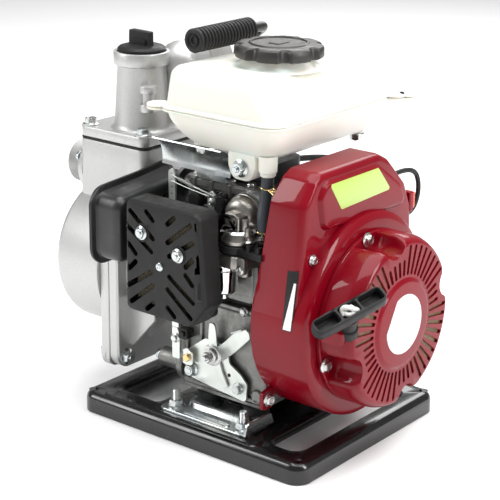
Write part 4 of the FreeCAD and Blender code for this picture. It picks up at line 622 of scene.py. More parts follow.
SCALLOPS = (100, 15, -80, -160)
SCALLOP_CENTRE, SCALLOP_SIZE = 82, 15
SCALLOP_STEPS, RIM_STEPS, RIM_SMOOTHING = 16, 30, 3
COVER_FACE, COVER_EYE = 168, 45
AIR_SLOTS, SLOT_START, SLOT_END, SLOT_END_AT_NOTCH, SLOT_RADIUS = 48, 48.5, 74, 61, 1.9
PULL = Vector((0.33, -0.46, 0.82)).normalized()
HANDLE_MIDDLE, HANDLE_HALF = 29, 38
ROPE_EXIT = Vector((160.5, -77, 148))
SHROUD = [(-99.8, CRANK_Z + 4), (-88, 258), (-74, 278), (-64, 284), (30, 284), (46, 276),
          (76, 247), (88, 222), (90, 194), (99.8, CRANK_Z + 4)]
RAISED = [(-62, 232), (-68, 262), (-60, 274), (22, 274), (62, 246), (72, 228)]


def lean_back_edge(point):
    """Widens the tower toward the drum at its edge beside the cylinder."""
    if 70 < point.x < 80 and point.z > CRANK_Z + 2:
        return point + Vector((max(-8.0, (point.z - 216) * 0.12), 0, 0))
    return point


def blower_housing():
    """The drum, the tower over it with its raised panel, and two screws."""
    form = Form()
    back = local_box("blower_housing")[0].x
    profile = [(0, 99), (1.5, 100), (56, 100), (60, 99.2), (62.5, 96.8), (64, 92),
               (64, 71.5), (62.8, 70), (61.5, 71.5), (61.5, 94), (58, 97), (0, 97)]
    form.lathe((back, 0, CRANK_Z), RIGHT, profile, 128, closed=True)
    outline = rounded(SHROUD, [0, 14, 10, 12, 14, 20, 16, 14, 8, 0], 6)
    outline += arc((0, CRANK_Z), 99.85, 0, -180, 36)
    rows = [(115.4, 5), (112, 2.4), (74.6, 2.4), (74.2, 1.6), (74, 0.8), (74.4, 0.1),
            (75, 0), (109.5, 0), (113.4, 0.7), (116.2, 2.4), (117.6, 4.6), (118, 7)]
    form.layers("X", outline, rows)
    panel = rounded(RAISED, [9, 12, 12, 14, 12, 10], 6)
    rows = [(117.6, -2.6), (118.4, -2.2), (120.2, -0.4), (121.4, 0.5), (121.9, 1.8), (122, 3.4)]
    form.layers("X", panel, rows, (False, True))
    seat = block_outline((84, 214), (90.5, 234), 1.5)
    form.layers("X", seat, [(100, 1), (101, 0), (117, 0), (118, 1)])
    lug = rounded([(-92, 50), (-74, 50), (-74, 72), (-92, 68)], 4)
    form.layers("X", lug, [(72, 0.6), (72.6, 0), (75.4, 0), (76, 0.6)])
    piece("shroud", form, "red_enamel", stands_for="blower_housing", bend=lean_back_edge)
    screws = Form()
    screws.hex_screw((76, -84, 60), RIGHT, 6.6, 5, 5)
    screws.hex_screw((118, -76, 206), RIGHT, 5.6, 4.2, 4)
    piece("shroud_screws", screws, "steel")


def scalloped(radius, x):
    """A circle about the crank axis with the four bolt scallops cut into it."""
    reach = SCALLOP_CENTRE
    half = math.degrees(math.acos((radius ** 2 + reach ** 2 - SCALLOP_SIZE ** 2)
                                  / (2 * radius * reach)))
    turns = sorted(angle % 360 for angle in SCALLOPS)
    points = []
    for number, angle in enumerate(turns):
        centre = polar(reach, angle, x)
        start, end = polar(radius, angle - half, x), polar(radius, angle + half, x)
        first, last = start - centre, end - centre
        spread = math.degrees(first.rotation_difference(last).angle)
        sweep = (360 - spread) if spread > 180 else spread
        for step in range(SCALLOP_STEPS + 1):
            turn = Matrix.Rotation(math.radians(sweep * step / SCALLOP_STEPS), 3, Vector(LEFT))
            points.append(centre + turn @ first)
        following = turns[(number + 1) % 4] + (360 if number == 3 else 0)
        span = following - half - (angle + half)
        points += [polar(radius, angle + half + span * step / RIM_STEPS, x)
                   for step in range(1, RIM_STEPS)]
    for _ in range(RIM_SMOOTHING):
        points = [(points[k - 1] + points[k] * 2 + points[(k + 1) % len(points)]) / 4
                  for k in range(len(points))]
    return points


def slot_holes():
    """Radial air slots of the cover's face, shorter behind the scallops."""
    holes = []
    for number in range(AIR_SLOTS):
        angle = 360 * number / AIR_SLOTS
        near = min(abs((angle - notch + 180) % 360 - 180) for notch in SCALLOPS)
        end = SLOT_END if near > 14 else SLOT_END_AT_NOTCH
        holes.append(slot_outline(polar(SLOT_START, angle).yz, polar(end, angle).yz,
                                  SLOT_RADIUS, 4))
    return holes


def recoil_cover():
    """The slotted cover, its rope boss and bush, what shows inside it, and a dark ring of painted shade in its
    seam.
    """
    form = Form()
    rows = [(134.4, 84), (155, 84), (158, 83.6), (162, 82.2), (165.5, 80.2), (167.2, 78.6),
            (COVER_FACE, 76.9)]
    rings = form.stack([scalloped(radius, x) for x, radius in rows], (False, False))
    eye = circle_outline((0, CRANK_Z), COVER_EYE, 96)
    holes = [form.loop([on_axis("X", COVER_FACE, *point) for point in hole])
             for hole in slot_holes()]
    eye = form.loop([on_axis("X", COVER_FACE, *point) for point in eye])
    form.fill([rings[-1], eye, *holes])
    for hole in holes:
        back = form.loop([Vector((165, vert.co.y, vert.co.z)) for vert in hole])
        form.bridge(hole, back)
    form.lathe((0, 0, CRANK_Z), RIGHT, [(COVER_FACE, COVER_EYE), (168.4, 44), (169.6, 42.2),
                                        (170.3, 41), (170.5, 39.5), (170.5, 0)], 96)
    form.lathe((0, 0, CRANK_Z), RIGHT, [(130.4, 82), (130.4, 83.4), (131, 84), (133.6, 84),
                                        (134.4, 83.2), (134.4, 62), (130.4, 62)], 128, closed=True)
    piece("starter_cover", form, "red_enamel", stands_for="recoil_cover", sharp=40)
    boss = Form()
    outline = rounded([(-17, -13), (17, -13), (12, 13), (-12, 13)], 5)
    aside = PULL.cross(Vector(RIGHT)).normalized()
    turn = Matrix((aside, aside.cross(PULL), PULL)).transposed()
    root = ROPE_EXIT - Vector((11, 0, 0))
    boss.stack([[root + turn @ Vector((*point, along)) for point in inset(outline, depth)]
                for along, depth in ((-7, 0), (8, 1.2), (10.4, 2.2), (11, 3.6))])
    piece("rope_boss", boss, "red_enamel")
    bush = Form()
    bush.lathe(ROPE_EXIT, PULL, [(-3, 3), (-3, 9), (6, 9), (7.2, 8.2), (7.6, 6.6), (6.4, 4.2),
                                 (3, 3)], 40, closed=True)
    piece("rope_bush", bush, "black_plastic")
    guard = Form()
    guard.stack([scalloped(75.5, x) for x in (161, 164.9)])
    piece("starter_guard", guard, "starter_inside")
    # A near-black ring across the seam between the drum and the cover: painted shade standing in for the shaded
    # gap.
    gap = Form()
    gap.lathe((129.6, 0, CRANK_Z), RIGHT, [(0, 72), (1, 72), (1, 83), (0, 83)], 96, closed=True)
    piece("painted_gap_shade", gap, "dark_inside")


def starter_bolts():
    """One flange screw in each scallop."""
    form = Form()
    for angle in SCALLOPS:
        form.hex_screw(polar(80, angle, 134.5), RIGHT, 7, 5.2, 5.4)
    piece("starter_bolts", form, "steel", stands_for="recoil_bolts")


def handle_turn():
    """The T-handle's axes: along its bar, across it, and along the pull."""
    long_axis = Vector((0.384, 0.863, 0.330)).normalized()
    side = PULL.cross(long_axis).normalized()
    long_axis = side.cross(PULL)
    return Matrix((long_axis, side, PULL)).transposed()


def starter_handle():
    """T-handle with three pockets and a ribbed knot well in the middle."""
    middle, turn = ROPE_EXIT + PULL * HANDLE_MIDDLE, handle_turn()

    def place(points):
        return [middle + turn @ Vector(point) for point in points]

    form = Form()
    end = HANDLE_HALF
    outline = dense(rounded([(-end, -8.2), (-18, -9), (18, -9), (end, -8.2), (end, 8.2),
                             (18, 9), (-18, 9), (-end, 8.2)],
                            [7, 30, 30, 7, 7, 30, 30, 7]), 4)
    rows = [(-6.5, 4), (-6.1, 2.2), (-5, 0.8), (-3.4, 0), (3.8, 0), (5.4, 0.3), (6.3, 0.9),
            (6.5, 1.6)]
    loops = [place([(*point, z) for point in inset(outline, depth)]) for z, depth in rows]
    rings = form.stack(loops, (True, False))
    wells = []
    for low, high, floor in ((-35, -11.5, -3), (-10, 10, -3), (11.5, 35, -3)):
        well = block_outline((low, -6.6), (high, 6.6), 3)
        steps = [(6.5, 0), (5.9, 0.4), (floor + 0.6, 0.8), (floor, 1.6)]
        lip = form.loop(place([(*point, 6.5) for point in well]))
        wells.append(lip)
        for z, depth in steps[1:]:
            following = form.loop(place([(*point, z) for point in inset(well, depth)]))
            form.bridge(lip, following)
            lip = following
        form.face(lip)
    form.fill([rings[-1], *wells])
    for x in (-8.4, 8.4):
        rib = block_outline((x - 0.6, -5.8), (x + 0.6, 5.8), 0.4)
        form.stack([place([(*point, z) for point in rib]) for z in (-3.2, 3)])
    form.lathe(middle - PULL * 25, PULL, [(0, 6.2), (0.8, 7), (17, 8.2), (19, 8.6)], 40)
    piece("pull_grip", form, "black_plastic", "pull_handle", "starter_handle")
    knot = Form()
    rope = [place([(3.9 * math.cos(a), 3.9 * math.sin(a), 0.8 + 0.6 * a)])[0]
            for a in [0.9 * k for k in range(9)]]
    knot.pipe(rope, 2.2, 12)
    knot.pipe(place([(7, -3, 3), (3, -2, 7), (-2, 3, 7.4), (-5, 4, 4), (-6, 0, 1)]), 2.3, 12)
    piece("rope_knot", knot, "rope_cord", "pull_handle")
    line = Form()
    line.rod(ROPE_EXIT - PULL * 9, middle - PULL * 1, 2.25, steps=16)
    piece("pull_rope", line, "rope_cord", "pull_handle", "starter_rope")


def side_of_tower(z):
    """Where the tower's slanting side stands at a height."""
    (low_y, low_z), (high_y, high_z) = SHROUD[0], SHROUD[1]
    return low_y + (high_y - low_y) * (z - low_z) / (high_z - low_z)


def starter_label():
    """A blank oval plate on the starter hub, and the blank plates of the shroud."""
    form = Form()
    oval = arc((0, 0), 29, -175, 118, 48)
    form.stack([[Vector((x, y, CRANK_Z + z)) for y, z in inset(oval, depth)]
                for x, depth in ((170.4, 0), (171, 0.2), (171.2, 0.7))])
    piece("hub_plate", form, "white_label")
    sheet = Form()
    corners = rounded([(-57, 273), (20, 273), (42, 248), (-38, 246)], 2)
    sheet.layers("X", corners, [(121.6, 0), (122.25, 0), (122.35, 0.3)])
    piece("panel_plate", sheet, "green_label")
    for name, paint, corners, rise in (
            ("side_plate", "black_plastic", [(103, 142), (114, 142), (116.5, 199), (104.5, 198)],
             0.4),
            ("side_wedge", "white_label", [(104, 143), (113, 143), (115, 188), (112.6, 188)],
             0.7)):
        plate = Form()
        outline = rounded(corners, 0.5)
        plate.stack([[Vector((x, side_of_tower(z) - out, z)) for x, z in inset(outline, depth)]
                     for out, depth in ((-0.4, 0), (rise - 0.1, 0), (rise, 0.2))])
        piece(name, plate, paint)


blower_housing()
recoil_cover()
starter_bolts()
starter_handle()
starter_label()


# ---------------------------------------------------------------- fuel tank

TANK_PLAN = ((-62, -90), (84, 108))
TANK_EARS = ((-62, -80, 12), (83, 102, 13), (92, 110, 10))
SEAM, TANK_TOP, TANK_FLOOR = 322, 361, 285
SEAM_INSETS, TOP_INSETS, FLOOR_INSETS = (5, 5, 5, 5), (8, 9, 30, 11), (26, 19, 18, 13)
TANK_BOLTS = ((30, -64), (-28, -56), (-24, 78), (54, 80))


def tank_ring(z, insets, corner):
    """A tank outline at a height; insets are for -x, -y, +x and +y."""
    low, high = TANK_PLAN
    outline = block_outline((low[0] + insets[0], low[1] + insets[1]),
                            (high[0] - insets[2], high[1] - insets[3]), corner, 10)
    return [Vector((*point, z)) for point in outline]


def between(first, last, share):
    """Blends two rows of insets."""
    return [a + (b - a) * share for a, b in zip(first, last)]


def lip_loops(side):
    """The seam lip's rounded edge, seen from the seam outward."""
    rows = [(0.25, 1.2, 19), (0.8, 0.2, 20), (1.9, 0.2, 20), (2.5, 0.9, 19.5),
            (2.7, 3.6, 19), (3.6, 4.8, 19)]
    return [tank_ring(SEAM + side * rise, (depth,) * 4, corner) for rise, depth, corner in rows]


def lip_ears(form, side):
    """The seam lip's round lugs."""
    for x, y, radius in TANK_EARS:
        profile = [(0.25, radius - 1.2), (0.8, radius - 0.2), (1.9, radius - 0.2),
                   (2.5, radius - 0.9), (2.7, radius - 3)]
        form.lathe((x, y, SEAM), (0, 0, side), profile, 40)


def fuel_tank():
    """Two shells with a seam lip, ears, a collar and the outlet neck."""
    upper = Form()
    loops = lip_loops(1)
    height = TANK_TOP - SEAM
    for rise, extra in ((8, 0), (20, 0), (31, 0.1), (34, 0.8), (36.6, 2.4), (38.3, 5),
                        (39, 9.5)):
        share = (rise - 4) / (height - 4)
        insets = [value + extra for value in between(SEAM_INSETS, TOP_INSETS, share)]
        loops.append(tank_ring(SEAM + rise, insets, 17 if rise < 37 else 13))
    upper.stack(loops)
    lip_ears(upper, 1)
    collar = [(-2, 44), (0, 40), (1.2, 37.5), (2.4, 35.5), (5, 34), (9, 32), (12, 27)]
    upper.lathe((20, -2, TANK_TOP), UP, collar, 64)
    piece("tank_upper", upper, "tank_plastic", stands_for="fuel_tank_upper")
    lower = Form()
    loops = []
    for drop, share, extra in ((37, 1, 10.5), (36.5, 1, 7.6), (35, 0.97, 4.4), (32, 0.86, 2),
                               (27, 0.66, 0.6), (19, 0.36, 0), (10, 0.1, 0)):
        insets = [value + extra for value in between(SEAM_INSETS, FLOOR_INSETS, share)]
        loops.append(tank_ring(SEAM - drop, insets, 14 if drop > 35 else 17))
    lower.stack(loops + lip_loops(-1)[::-1])
    lip_ears(lower, -1)
    lower.lathe((56, -63, 266), UP, [(0, 3), (4, 3), (4.4, 6.6), (5.4, 7.4), (8, 7.6), (9, 8.6),
                                     (24, 9)], 32)
    for x, y in TANK_BOLTS[1:]:
        lower.lathe((x, y, TANK_FLOOR - 0.1), UP, [(0, 7.4), (0.5, 8), (8, 10)], 32)
    lug = rounded([(19, 263), (41, 263), (46, 276), (46, 290), (14, 290), (14, 276)],
                  [10, 10, 8, 3, 3, 8])
    lower.layers("Y", lug, [(-52, 1), (-54, 0), (-68.6, 0), (-69.6, 0.5), (-70, 1.6)])
    piece("tank_lower", lower, "tank_plastic", stands_for="fuel_tank_lower")
    seam_line = Form()
    seam_line.stack([tank_ring(SEAM - 0.6, (1.6,) * 4, 19), tank_ring(SEAM + 0.6, (1.6,) * 4, 19)])
    piece("tank_weld", seam_line, "tank_plastic")


def tank_bolts():
    """The front lug nut and the nuts under the other lugs."""
    form = Form()
    low, high = local_box("tank_fasteners")
    form.flange_nut((30, -70, 275), FRONT, 8.6, 6.4, 7.5, 2.4, 3)
    for x, y in TANK_BOLTS[1:]:
        form.flange_nut((x, y, high.z), (0, 0, -1), 8.6, 6.4, high.z - low.z - 1.6, 1.4, 3)
    piece("tank_nuts", form, "zinc_plate", stands_for="tank_fasteners")


CAP_STEPS, CAP_NOTCHES, CAP_NOTCH_SHARE = 192, 8, 0.17


def fuel_cap():
    """Dark cap with eight grip notches and a raised ring on its top."""
    low, high = local_box("fuel_cap")
    centre = (low + high) / 2
    outer = (high.x - low.x) / 2

    def ring(z, radius, depth):
        points = []
        for angle in turn_steps(CAP_STEPS):
            phase = (angle * CAP_NOTCHES / (2 * math.pi) + 0.5) % 1 - 0.5
            size = radius - depth * max(0.0, 1 - (phase / CAP_NOTCH_SHARE) ** 2) ** 0.5
            points.append(Vector((centre.x + size * math.cos(angle),
                                  centre.y + size * math.sin(angle), z)))
        return points

    form = Form()
    base, top = TANK_TOP + 8, high.z
    rows = [(base, outer - 1.6, 3.6), (base + 0.6, outer - 0.5, 4.6), (base + 1.6, outer, 5),
            (base + 8.4, outer - 0.5, 5), (base + 10.4, outer - 1.6, 5),
            (base + 11.5, outer - 3.6, 4), (base + 11.9, outer - 6, 2.6),
            (base + 12, outer - 10, 0), (base + 12.1, 29.2, 0), (base + 12.5, 28.6, 0),
            (top - 0.3, 28, 0), (top, 27.2, 0), (top - 0.2, 26.2, 0),
            (top - 1.4, 25.6, 0), (top - 1.6, 24, 0), (top - 1.4, 10, 0)]
    form.stack([ring(*row) for row in rows])
    bar = block_outline((centre.x - 7, centre.y - 10), (centre.x + 7, centre.y + 10), 4)
    form.layers("Z", bar, [(top - 2.4, 0), (top - 0.9, 0.3), (top - 0.5, 0.9)])
    piece("tank_cap_body", form, "cap_plastic", "tank_cap", "fuel_cap")


fuel_tank()
tank_bolts()
fuel_cap()


# --------------------------------------------------------------------- pump

LID_BOLTS = ((-198, -33), (-125, -33), (-198, 49), (-125, 49))
FLANGE_BOLTS = ((-67.5, 47), (67.5, 47), (-67.5, 201), (67.5, 201))
BLOCK_LOW, BLOCK_HIGH = (-207, -42), (-116, 58)
PRIMING, OUTLET = Vector((-152, -5, 0)), Vector((-134, 34, 335))
SUCTION_Z = 222
PIPE_PITCH, PIPE_RISE, PIPE_CREST, PIPE_ROOT = 2.31, 1.15, 23.9, 22.6


def pipe_thread(start, turns):
    """Profile rows of a G 1 1/2 thread."""
    rows = []
    for number in range(turns):
        along = start + PIPE_PITCH * number
        rows += [(along, PIPE_CREST), (along + PIPE_RISE, PIPE_ROOT)]
    return rows


def pump_casing():
    """Round volute, bolted flange, square chamber and suction port."""
    form = Form()
    form.lathe((-215, 0, CRANK_Z), RIGHT, [(0, 0), (0, 22), (0.1, 40), (0.5, 58), (1.8, 67),
                                           (4.6, 73.6), (8.6, 77.4), (13, 79), (62, 79), (66, 80),
                                           (70, 83)], 128)
    outline = block_outline((-79, 34), (79, 214), 12)
    form.layers("X", outline, [(-145.1, 1.6), (-144.8, 0.6), (-144, 0), (-134.2, 0), (-133.5, 0.6),
                               (-133.3, 1.4)])
    for y, z in FLANGE_BOLTS:
        form.lathe((-145.1, y, z), RIGHT, [(0, 10), (0.1, 11), (6, 12)], 32)
    main = block_outline((-207, -42), (-133.5, 58), 9)
    form.layers("Z", main, [(150, -7), (190, -2.4), (222, -0.4), (240, 0), (257.6, 0),
                            (259.1, 0.5), (259.5, 1.5)])
    ledge = block_outline((-150, -42), BLOCK_HIGH, 9)
    form.layers("Z", ledge, [(215, 9), (219, 4), (224, 1), (228, 0), (257.6, 0), (259.1, 0.5),
                             (259.5, 1.5)])
    for y in (-25, 8, 41):
        rib = [(-143, 150), (-143, 219), (-122, 219)]
        form.layers("Y", rounded(rib, 1.5), [(y - 2, 0.8), (y - 1.4, 0), (y + 1.4, 0),
                                             (y + 2, 0.8)])
    collar = [(0, 38), (3, 35), (8, 33.4), (11, 33), (11.8, 32.4), (12, 31.4), (12, 25),
              (13.6, 22.8), (15, 22.6), *pipe_thread(15.6, 9), (36.4, 22.2), (37, 21.4),
              (37, 16), (36.4, 15.2), (6, 15), (6, 0)]
    form.lathe((-207, 0, SUCTION_Z), LEFT, collar, 64)
    form.rod((-206, 30, 70), (-224, 30, 70), 9, 8.4, 32, 0.8)
    piece("pump_body", form, "cast_aluminium", stands_for="pump_casing", sharp=35)
    plugs = Form()
    plugs.hex_screw((-207, 30, 70), LEFT, 7.5, 7, 6)
    for y, z in ((-22, SUCTION_Z + 12), (22, SUCTION_Z - 12)):
        plugs.hex_screw((-219, y * 1.22, z), LEFT, 5.4, 4.6, 4.5)
    piece("pump_plugs", plugs, "zinc_plate")


def pump_lid():
    """Lid with its filler tube, the discharge elbow and the gasket."""
    form = Form()
    plan = block_outline(BLOCK_LOW, BLOCK_HIGH, 9, 8)
    form.layers("Z", plan, [(262, 1.2), (262.4, 0.4), (263, 0), (271.2, 0), (272.4, 0.5),
                            (272.9, 1.4), (273, 2.6)])
    tube = [(-3, 33), (0, 32.4), (0.8, 30.4), (2.4, 29.2), (6, 28.4), (62, 24.8), (64.4, 25),
            (65.4, 26.4), (66, 28), (66.8, 28.4), (78, 28.5), (78.7, 28.1), (79, 27.2),
            (79, 25.6), (78.4, 24.8), (74, 24.4), (74, 19.5), (66, 19.5), (66, 0)]
    form.lathe(PRIMING + Vector((0, 0, 273)), UP, tube, 96)
    riser = [(-3, 27), (0, 25), (2.6, 22.6), (6, 21.4), (30, 21), (50, 22), (62, 23.2)]
    form.lathe((OUTLET.x, OUTLET.y, 273), UP, riser, 64)
    form.ball(OUTLET, 23.4, 48)
    pipe = [(0, 22), (22.6, 22), (23.4, 24.6), (24, 24.6), (24.6, 22.6),
            *pipe_thread(25.3, 14), (57.4, 22.2), (58, 21.4), (58, 19.6), (57.2, 19), (20, 19),
            (20, 0)]
    form.lathe(OUTLET, BACK, pipe, 64)
    web = [(-150, 12), (-138, 16), (-134, 34), (-146, 20)]
    form.layers("Z", web, [(274, 0), (330, 0)])
    for z in (299, 318):
        form.rod((-128, -22, z - 4), (-128, -22, z + 4), 8.5, edge=1)
    form.rod((-132, -18, 299), (-132, -18, 318), 6.5)
    for x, y in LID_BOLTS:
        form.lathe((x, y, 272.6), UP, [(0, 9.6), (0.35, 9.4), (0.4, 8.8), (0.1, 0)], 32)
    piece("pump_lid", form, "cast_aluminium", stands_for="pump_top_cover", sharp=35)
    seal = Form()
    seal.layers("Z", plan, [(259.6, 0.2), (260, -0.25), (261.6, -0.25), (261.95, 0.2)])
    piece("lid_gasket", seal, "rubber", stands_for="pump_gasket")


def pump_screws():
    """Lid screws, and flange screws with their nuts."""
    form = Form()
    for x, y in LID_BOLTS:
        form.hex_screw((x, y, 273), UP, 8.7, 6.6, 7)
    for y, z in FLANGE_BOLTS:
        form.hex_screw((-145.2, y, z), LEFT, 8.7, 6.6, 7)
        form.flange_nut((-121, y, z), RIGHT, 8.7, 6.6, 6.8, 2.4, 3.9)
    piece("pump_screws", form, "zinc_plate", stands_for="pump_bolts")


def priming_plug():
    """Black filler plug with its grip bar."""
    form = Form()
    x, y = PRIMING.x, PRIMING.y
    form.lathe((x, y, 340), UP, [(0, 18), (1, 19), (11.6, 19.2), (12.2, 24), (12.9, 24.5),
                                 (14.6, 24.3), (16.2, 22.6), (17, 20), (18, 14), (18.4, 0)], 72)
    grip = rounded([(x - 14, y - 4.6), (x + 14, y - 3.4), (x + 14, y + 3.4), (x - 14, y + 4.6)],
                   1.6)
    form.layers("Z", grip, [(354, -1.6), (357, -0.4), (359, 0), (371, 0.3), (371.7, 0.8),
                            (372, 1.6)])
    form.box((x - 9, y - 5.6, 356), (x + 9, y - 3, 364), "Y", 2)
    piece("filler_plug", form, "black_plastic", "filler_plug", "priming_plug")


pump_casing()
pump_lid()
pump_screws()
priming_plug()


# ------------------------------------------------------ silencer, air filter

SILENCER = [(-125, 170), (-125, 236), (-62, 240), (-15, 245), (-15, 170)]
FILTER_PLAN = [(-61, 132), (21, 132), (38, 155), (30, 243), (-60, 243)]
FILTER_MIDDLE = (-16.4, 184.6)
FILTER_FRONT, FILTER_INSIDE, FILTER_SLOT_RADIUS, NUT_SEAT = -131, -128.4, 2.6, 9
FILTER_NUTS = ((-39, 213), (6, 200))
QUARTER_SLOTS = (((9, 43), (17, 50)), ((9, 25), (37, 47)), ((11, 12), (40, 31)),
                 ((31, 6), (39, 14)))


def silencer():
    """Two pressed shells joined at a lip, and the exhaust pipe."""
    outline = rounded(SILENCER, [13, 13, 30, 13, 13], 8)
    lip = inset(outline, -6)
    inner = Form()
    inner.stack([*levels("X", outline, [(-74.1, 8), (-74.6, 5), (-76.4, 2.2), (-79.6, 0.5),
                                        (-84, 0), (-102, 0), (-103.6, -0.6)]),
                 *levels("X", lip, [(-104.4, 3), (-104.6, 0.6), (-105, 0), (-105.7, 0),
                                    (-105.9, 0.4)])])
    inner.rod((-76, -26, 233.3), (-58.4, -26, 233.3), 9.5)
    inner.lathe((-77, -26, 233.3), RIGHT, [(0, 16), (3.4, 15), (4.6, 12.4), (6, 9.6)], 40)
    piece("silencer_inner", inner, "black_steel", stands_for="muffler_inner_shell")
    outer = Form()
    outer.stack([*levels("X", lip, [(-106.1, 0.5), (-106.3, 0), (-107.4, 0), (-108, 0.5),
                                    (-108.1, 1.6), (-108, 3.2)]),
                 *levels("X", outline, [(-108.2, 0), (-109.4, 0.8), (-113.2, 1.4),
                                        (-114.8, 2.8), (-115.4, 5.4), (-115.5, 9),
                                        (-115, 12), (-114.4, 14)])])
    piece("silencer_outer", outer, "black_steel", stands_for="muffler_outer_shell")


def filter_slots():
    """The cover's slots, one quarter of them mirrored about its middle."""
    x, z = FILTER_MIDDLE
    slots = []
    for side_x in (-1, 1):
        for side_z, lift in ((-1, 4), (1, 0)):
            for start, end in QUARTER_SLOTS:
                ends = [(x + side_x * a, z + side_z * b + lift) for a, b in (start, end)]
                slots.append(slot_outline(*ends, FILTER_SLOT_RADIUS))
    return slots


def clear_of_nuts(slot):
    """Keeps a slot's points outside the round seats of the two nuts."""
    kept = []
    for point in slot:
        for nut in FILTER_NUTS:
            away = Vector(point) - Vector(nut)
            if away.length < NUT_SEAT:
                point = tuple(Vector(nut) + away.normalized() * NUT_SEAT)
        kept.append(point)
    return kept


def filter_cover():
    """Slotted cover with its two nuts and its screw."""
    form = Form()
    outline = dense(rounded(FILTER_PLAN, [7, 9, 9, 8, 8], 8), 6)
    loops = levels("Y", outline, [(-128.4, 2.4), (-107, 2.4), (-106.2, 1.6), (-106, 0.8),
                                  (-106.3, 0), (-126.6, 0), (-129, 0.6), (-130.5, 1.8),
                                  (FILTER_FRONT, 3.6)])
    rings = form.stack(loops, (False, False))
    slots = [clear_of_nuts(dense(slot, 1.5)) for slot in filter_slots()]
    front, back = [[form.loop([on_axis("Y", y, *point) for point in slot]) for slot in slots]
                   for y in (FILTER_FRONT, FILTER_INSIDE)]
    form.fill([rings[-1], *front])
    form.fill([rings[0], *back])
    for first, second in zip(front, back):
        form.bridge(first, second)
    for x, z in FILTER_NUTS:
        form.lathe((x, -130.6, z), FRONT, [(0, 9.2), (0.9, 8.8), (1.1, 8), (0.6, 7.4), (0.4, 6)],
                   40)
    piece("filter_cover", form, "black_plastic", stands_for="air_filter_cover", sharp=30)
    nuts = Form()
    for x, z in FILTER_NUTS:
        nuts.flange_nut((x, -131.2, z), FRONT, 6.8, 5.2, 4, 1.3, 2.9)
    nuts.lathe((-17, -131, 184), FRONT, [(0, 4.2), (0.8, 4.2), (1.6, 3.4), (1.9, 2), (1.4, 1.2),
                                         (1.4, 0)], 32)
    piece("filter_nuts", nuts, "zinc_plate", stands_for="air_filter_fasteners")


def filter_foam():
    """A foam block whose surface swells a little between its edges."""
    form = Form()
    low, high = local_box("air_filter_element")
    outline = dense(block_outline((low.x, low.z), (high.x + 6, high.z), 6), 4)
    rows = [(high.y, 3), (high.y - 2, 0.6), (high.y - 6, 0), (low.y + 6, 0), (low.y + 2, 0.8),
            (low.y + 0.6, 3), (low.y + 0.3, 10), (low.y, 20), (low.y, 34)]
    form.layers("Y", outline, rows)

    def swell(point):
        return point + Vector((0, 0.3 * noise.noise(point * 0.11), 0))

    piece("filter_foam", form, "foam", stands_for="air_filter_element", bend=swell)


silencer()
filter_cover()
filter_foam()


# ------------------------------------------------------------ base, handle

BASE_HALF = (140, 116.5)
WINDOWS = (((-111, -91), (-59, 91)), ((82, -91), (118, 91)))
FEET = ((-130, -106.5), (130, -106.5), (130, 106.5), (-130, 106.5))
STUDS = ((-31, -92), (53, -92), (-31, 92), (53, 92))


def base_frame():
    """A pressed tray with a rounded shoulder and rolled window edges."""
    form = Form()
    outline = block_outline((-BASE_HALF[0], -BASE_HALF[1]), BASE_HALF, 16, 10)
    rows = [(18.8, 5.6), (14, 2.4), (0.5, 2.2), (0, 1.6), (0, 0.6), (0.5, 0), (12.5, 0),
            (15.5, 0.5), (18, 1.9), (19.8, 4), (20.8, 6.6), (21, 9)]
    rings = form.layers("Z", outline, rows, (False, False))
    top, under = [rings[-1]], [rings[0]]
    for low, high in WINDOWS:
        hole = block_outline(low, high, 13, 8)
        steps = levels("Z", hole, [(21, -3), (20.2, -1.2), (18.6, -0.2), (13, 0), (12.6, -0.6),
                                   (12.8, -1.6), (18.8, -2.4)])
        loops = [form.loop(points) for points in steps]
        for first, second in zip(loops, loops[1:]):
            form.bridge(first, second)
        top.append(loops[0])
        under.append(loops[-1])
    for x, y in FEET + STUDS:
        hole = circle_outline((x, y), 4.25, 24)
        first = form.loop([(*point, 21) for point in inset(hole, -0.6)])
        second = form.loop([(*point, 20.5) for point in hole])
        third = form.loop([(*point, 18.8) for point in hole])
        form.bridge(first, second)
        form.bridge(second, third)
        top.append(first)
        under.append(third)
    form.fill(top)
    form.fill(under)
    for side in (-1, 1):
        step = block_outline((-114, side * 100.5 - 9), (80, side * 100.5 + 9), 6)
        form.layers("Z", step, [(20.8, -1.4), (21.6, -0.5), (22.3, 0.5), (22.5, 1.6)])
    piece("base_tray", form, "black_enamel", stands_for="base_frame", sharp=40)


GRIP_RIBS, GRIP_PITCH = 17, 4.7


def grip():
    """Ribbed rubber sleeve with a dimpled near end."""
    form = Form()
    profile = [(2.4, 0), (2.4, 3), (0.6, 3.8), (0.6, 4.6), (2.2, 5.4), (2, 7), (0.3, 8), (0, 9),
               (0.4, 11), (1.4, 11.8), (3.4, 11.8), (4, 11.2)]
    for number in range(GRIP_RIBS):
        start = 5.2 + number * GRIP_PITCH
        profile += [(start, 9.9), (start + 1.2, 9.7), (start + 1.7, 11.5), (start + 2.2, 11.8),
                    (start + 3.6, 11.8), (start + 4.1, 11.4)]
    profile += [(85, 10), (85, 5.2), (84, 5.1)]
    form.lathe((-52, -42, 379), BACK, profile, 48)
    piece("grip_sleeve", form, "rubber", stands_for="handle_grip", sharp=50)


def stud_nuts():
    """Studs through the tray with a nut above and below."""
    form = Form()
    for x, y in STUDS:
        form.flange_nut((x, y, 25.2), UP, 8.8, 7.4, 8, 10.8, 4)
        form.lathe((x, y, 25.1), UP, [(0, 9.6), (0.9, 9.4)], 32)
        form.rod((x, y, 9), (x, y, 22), 3.9)
        form.hexagon((x, y, 18.6), (x, y, 12.2), 7.4)
    piece("base_nuts", form, "zinc_plate", stands_for="bracket_studs")


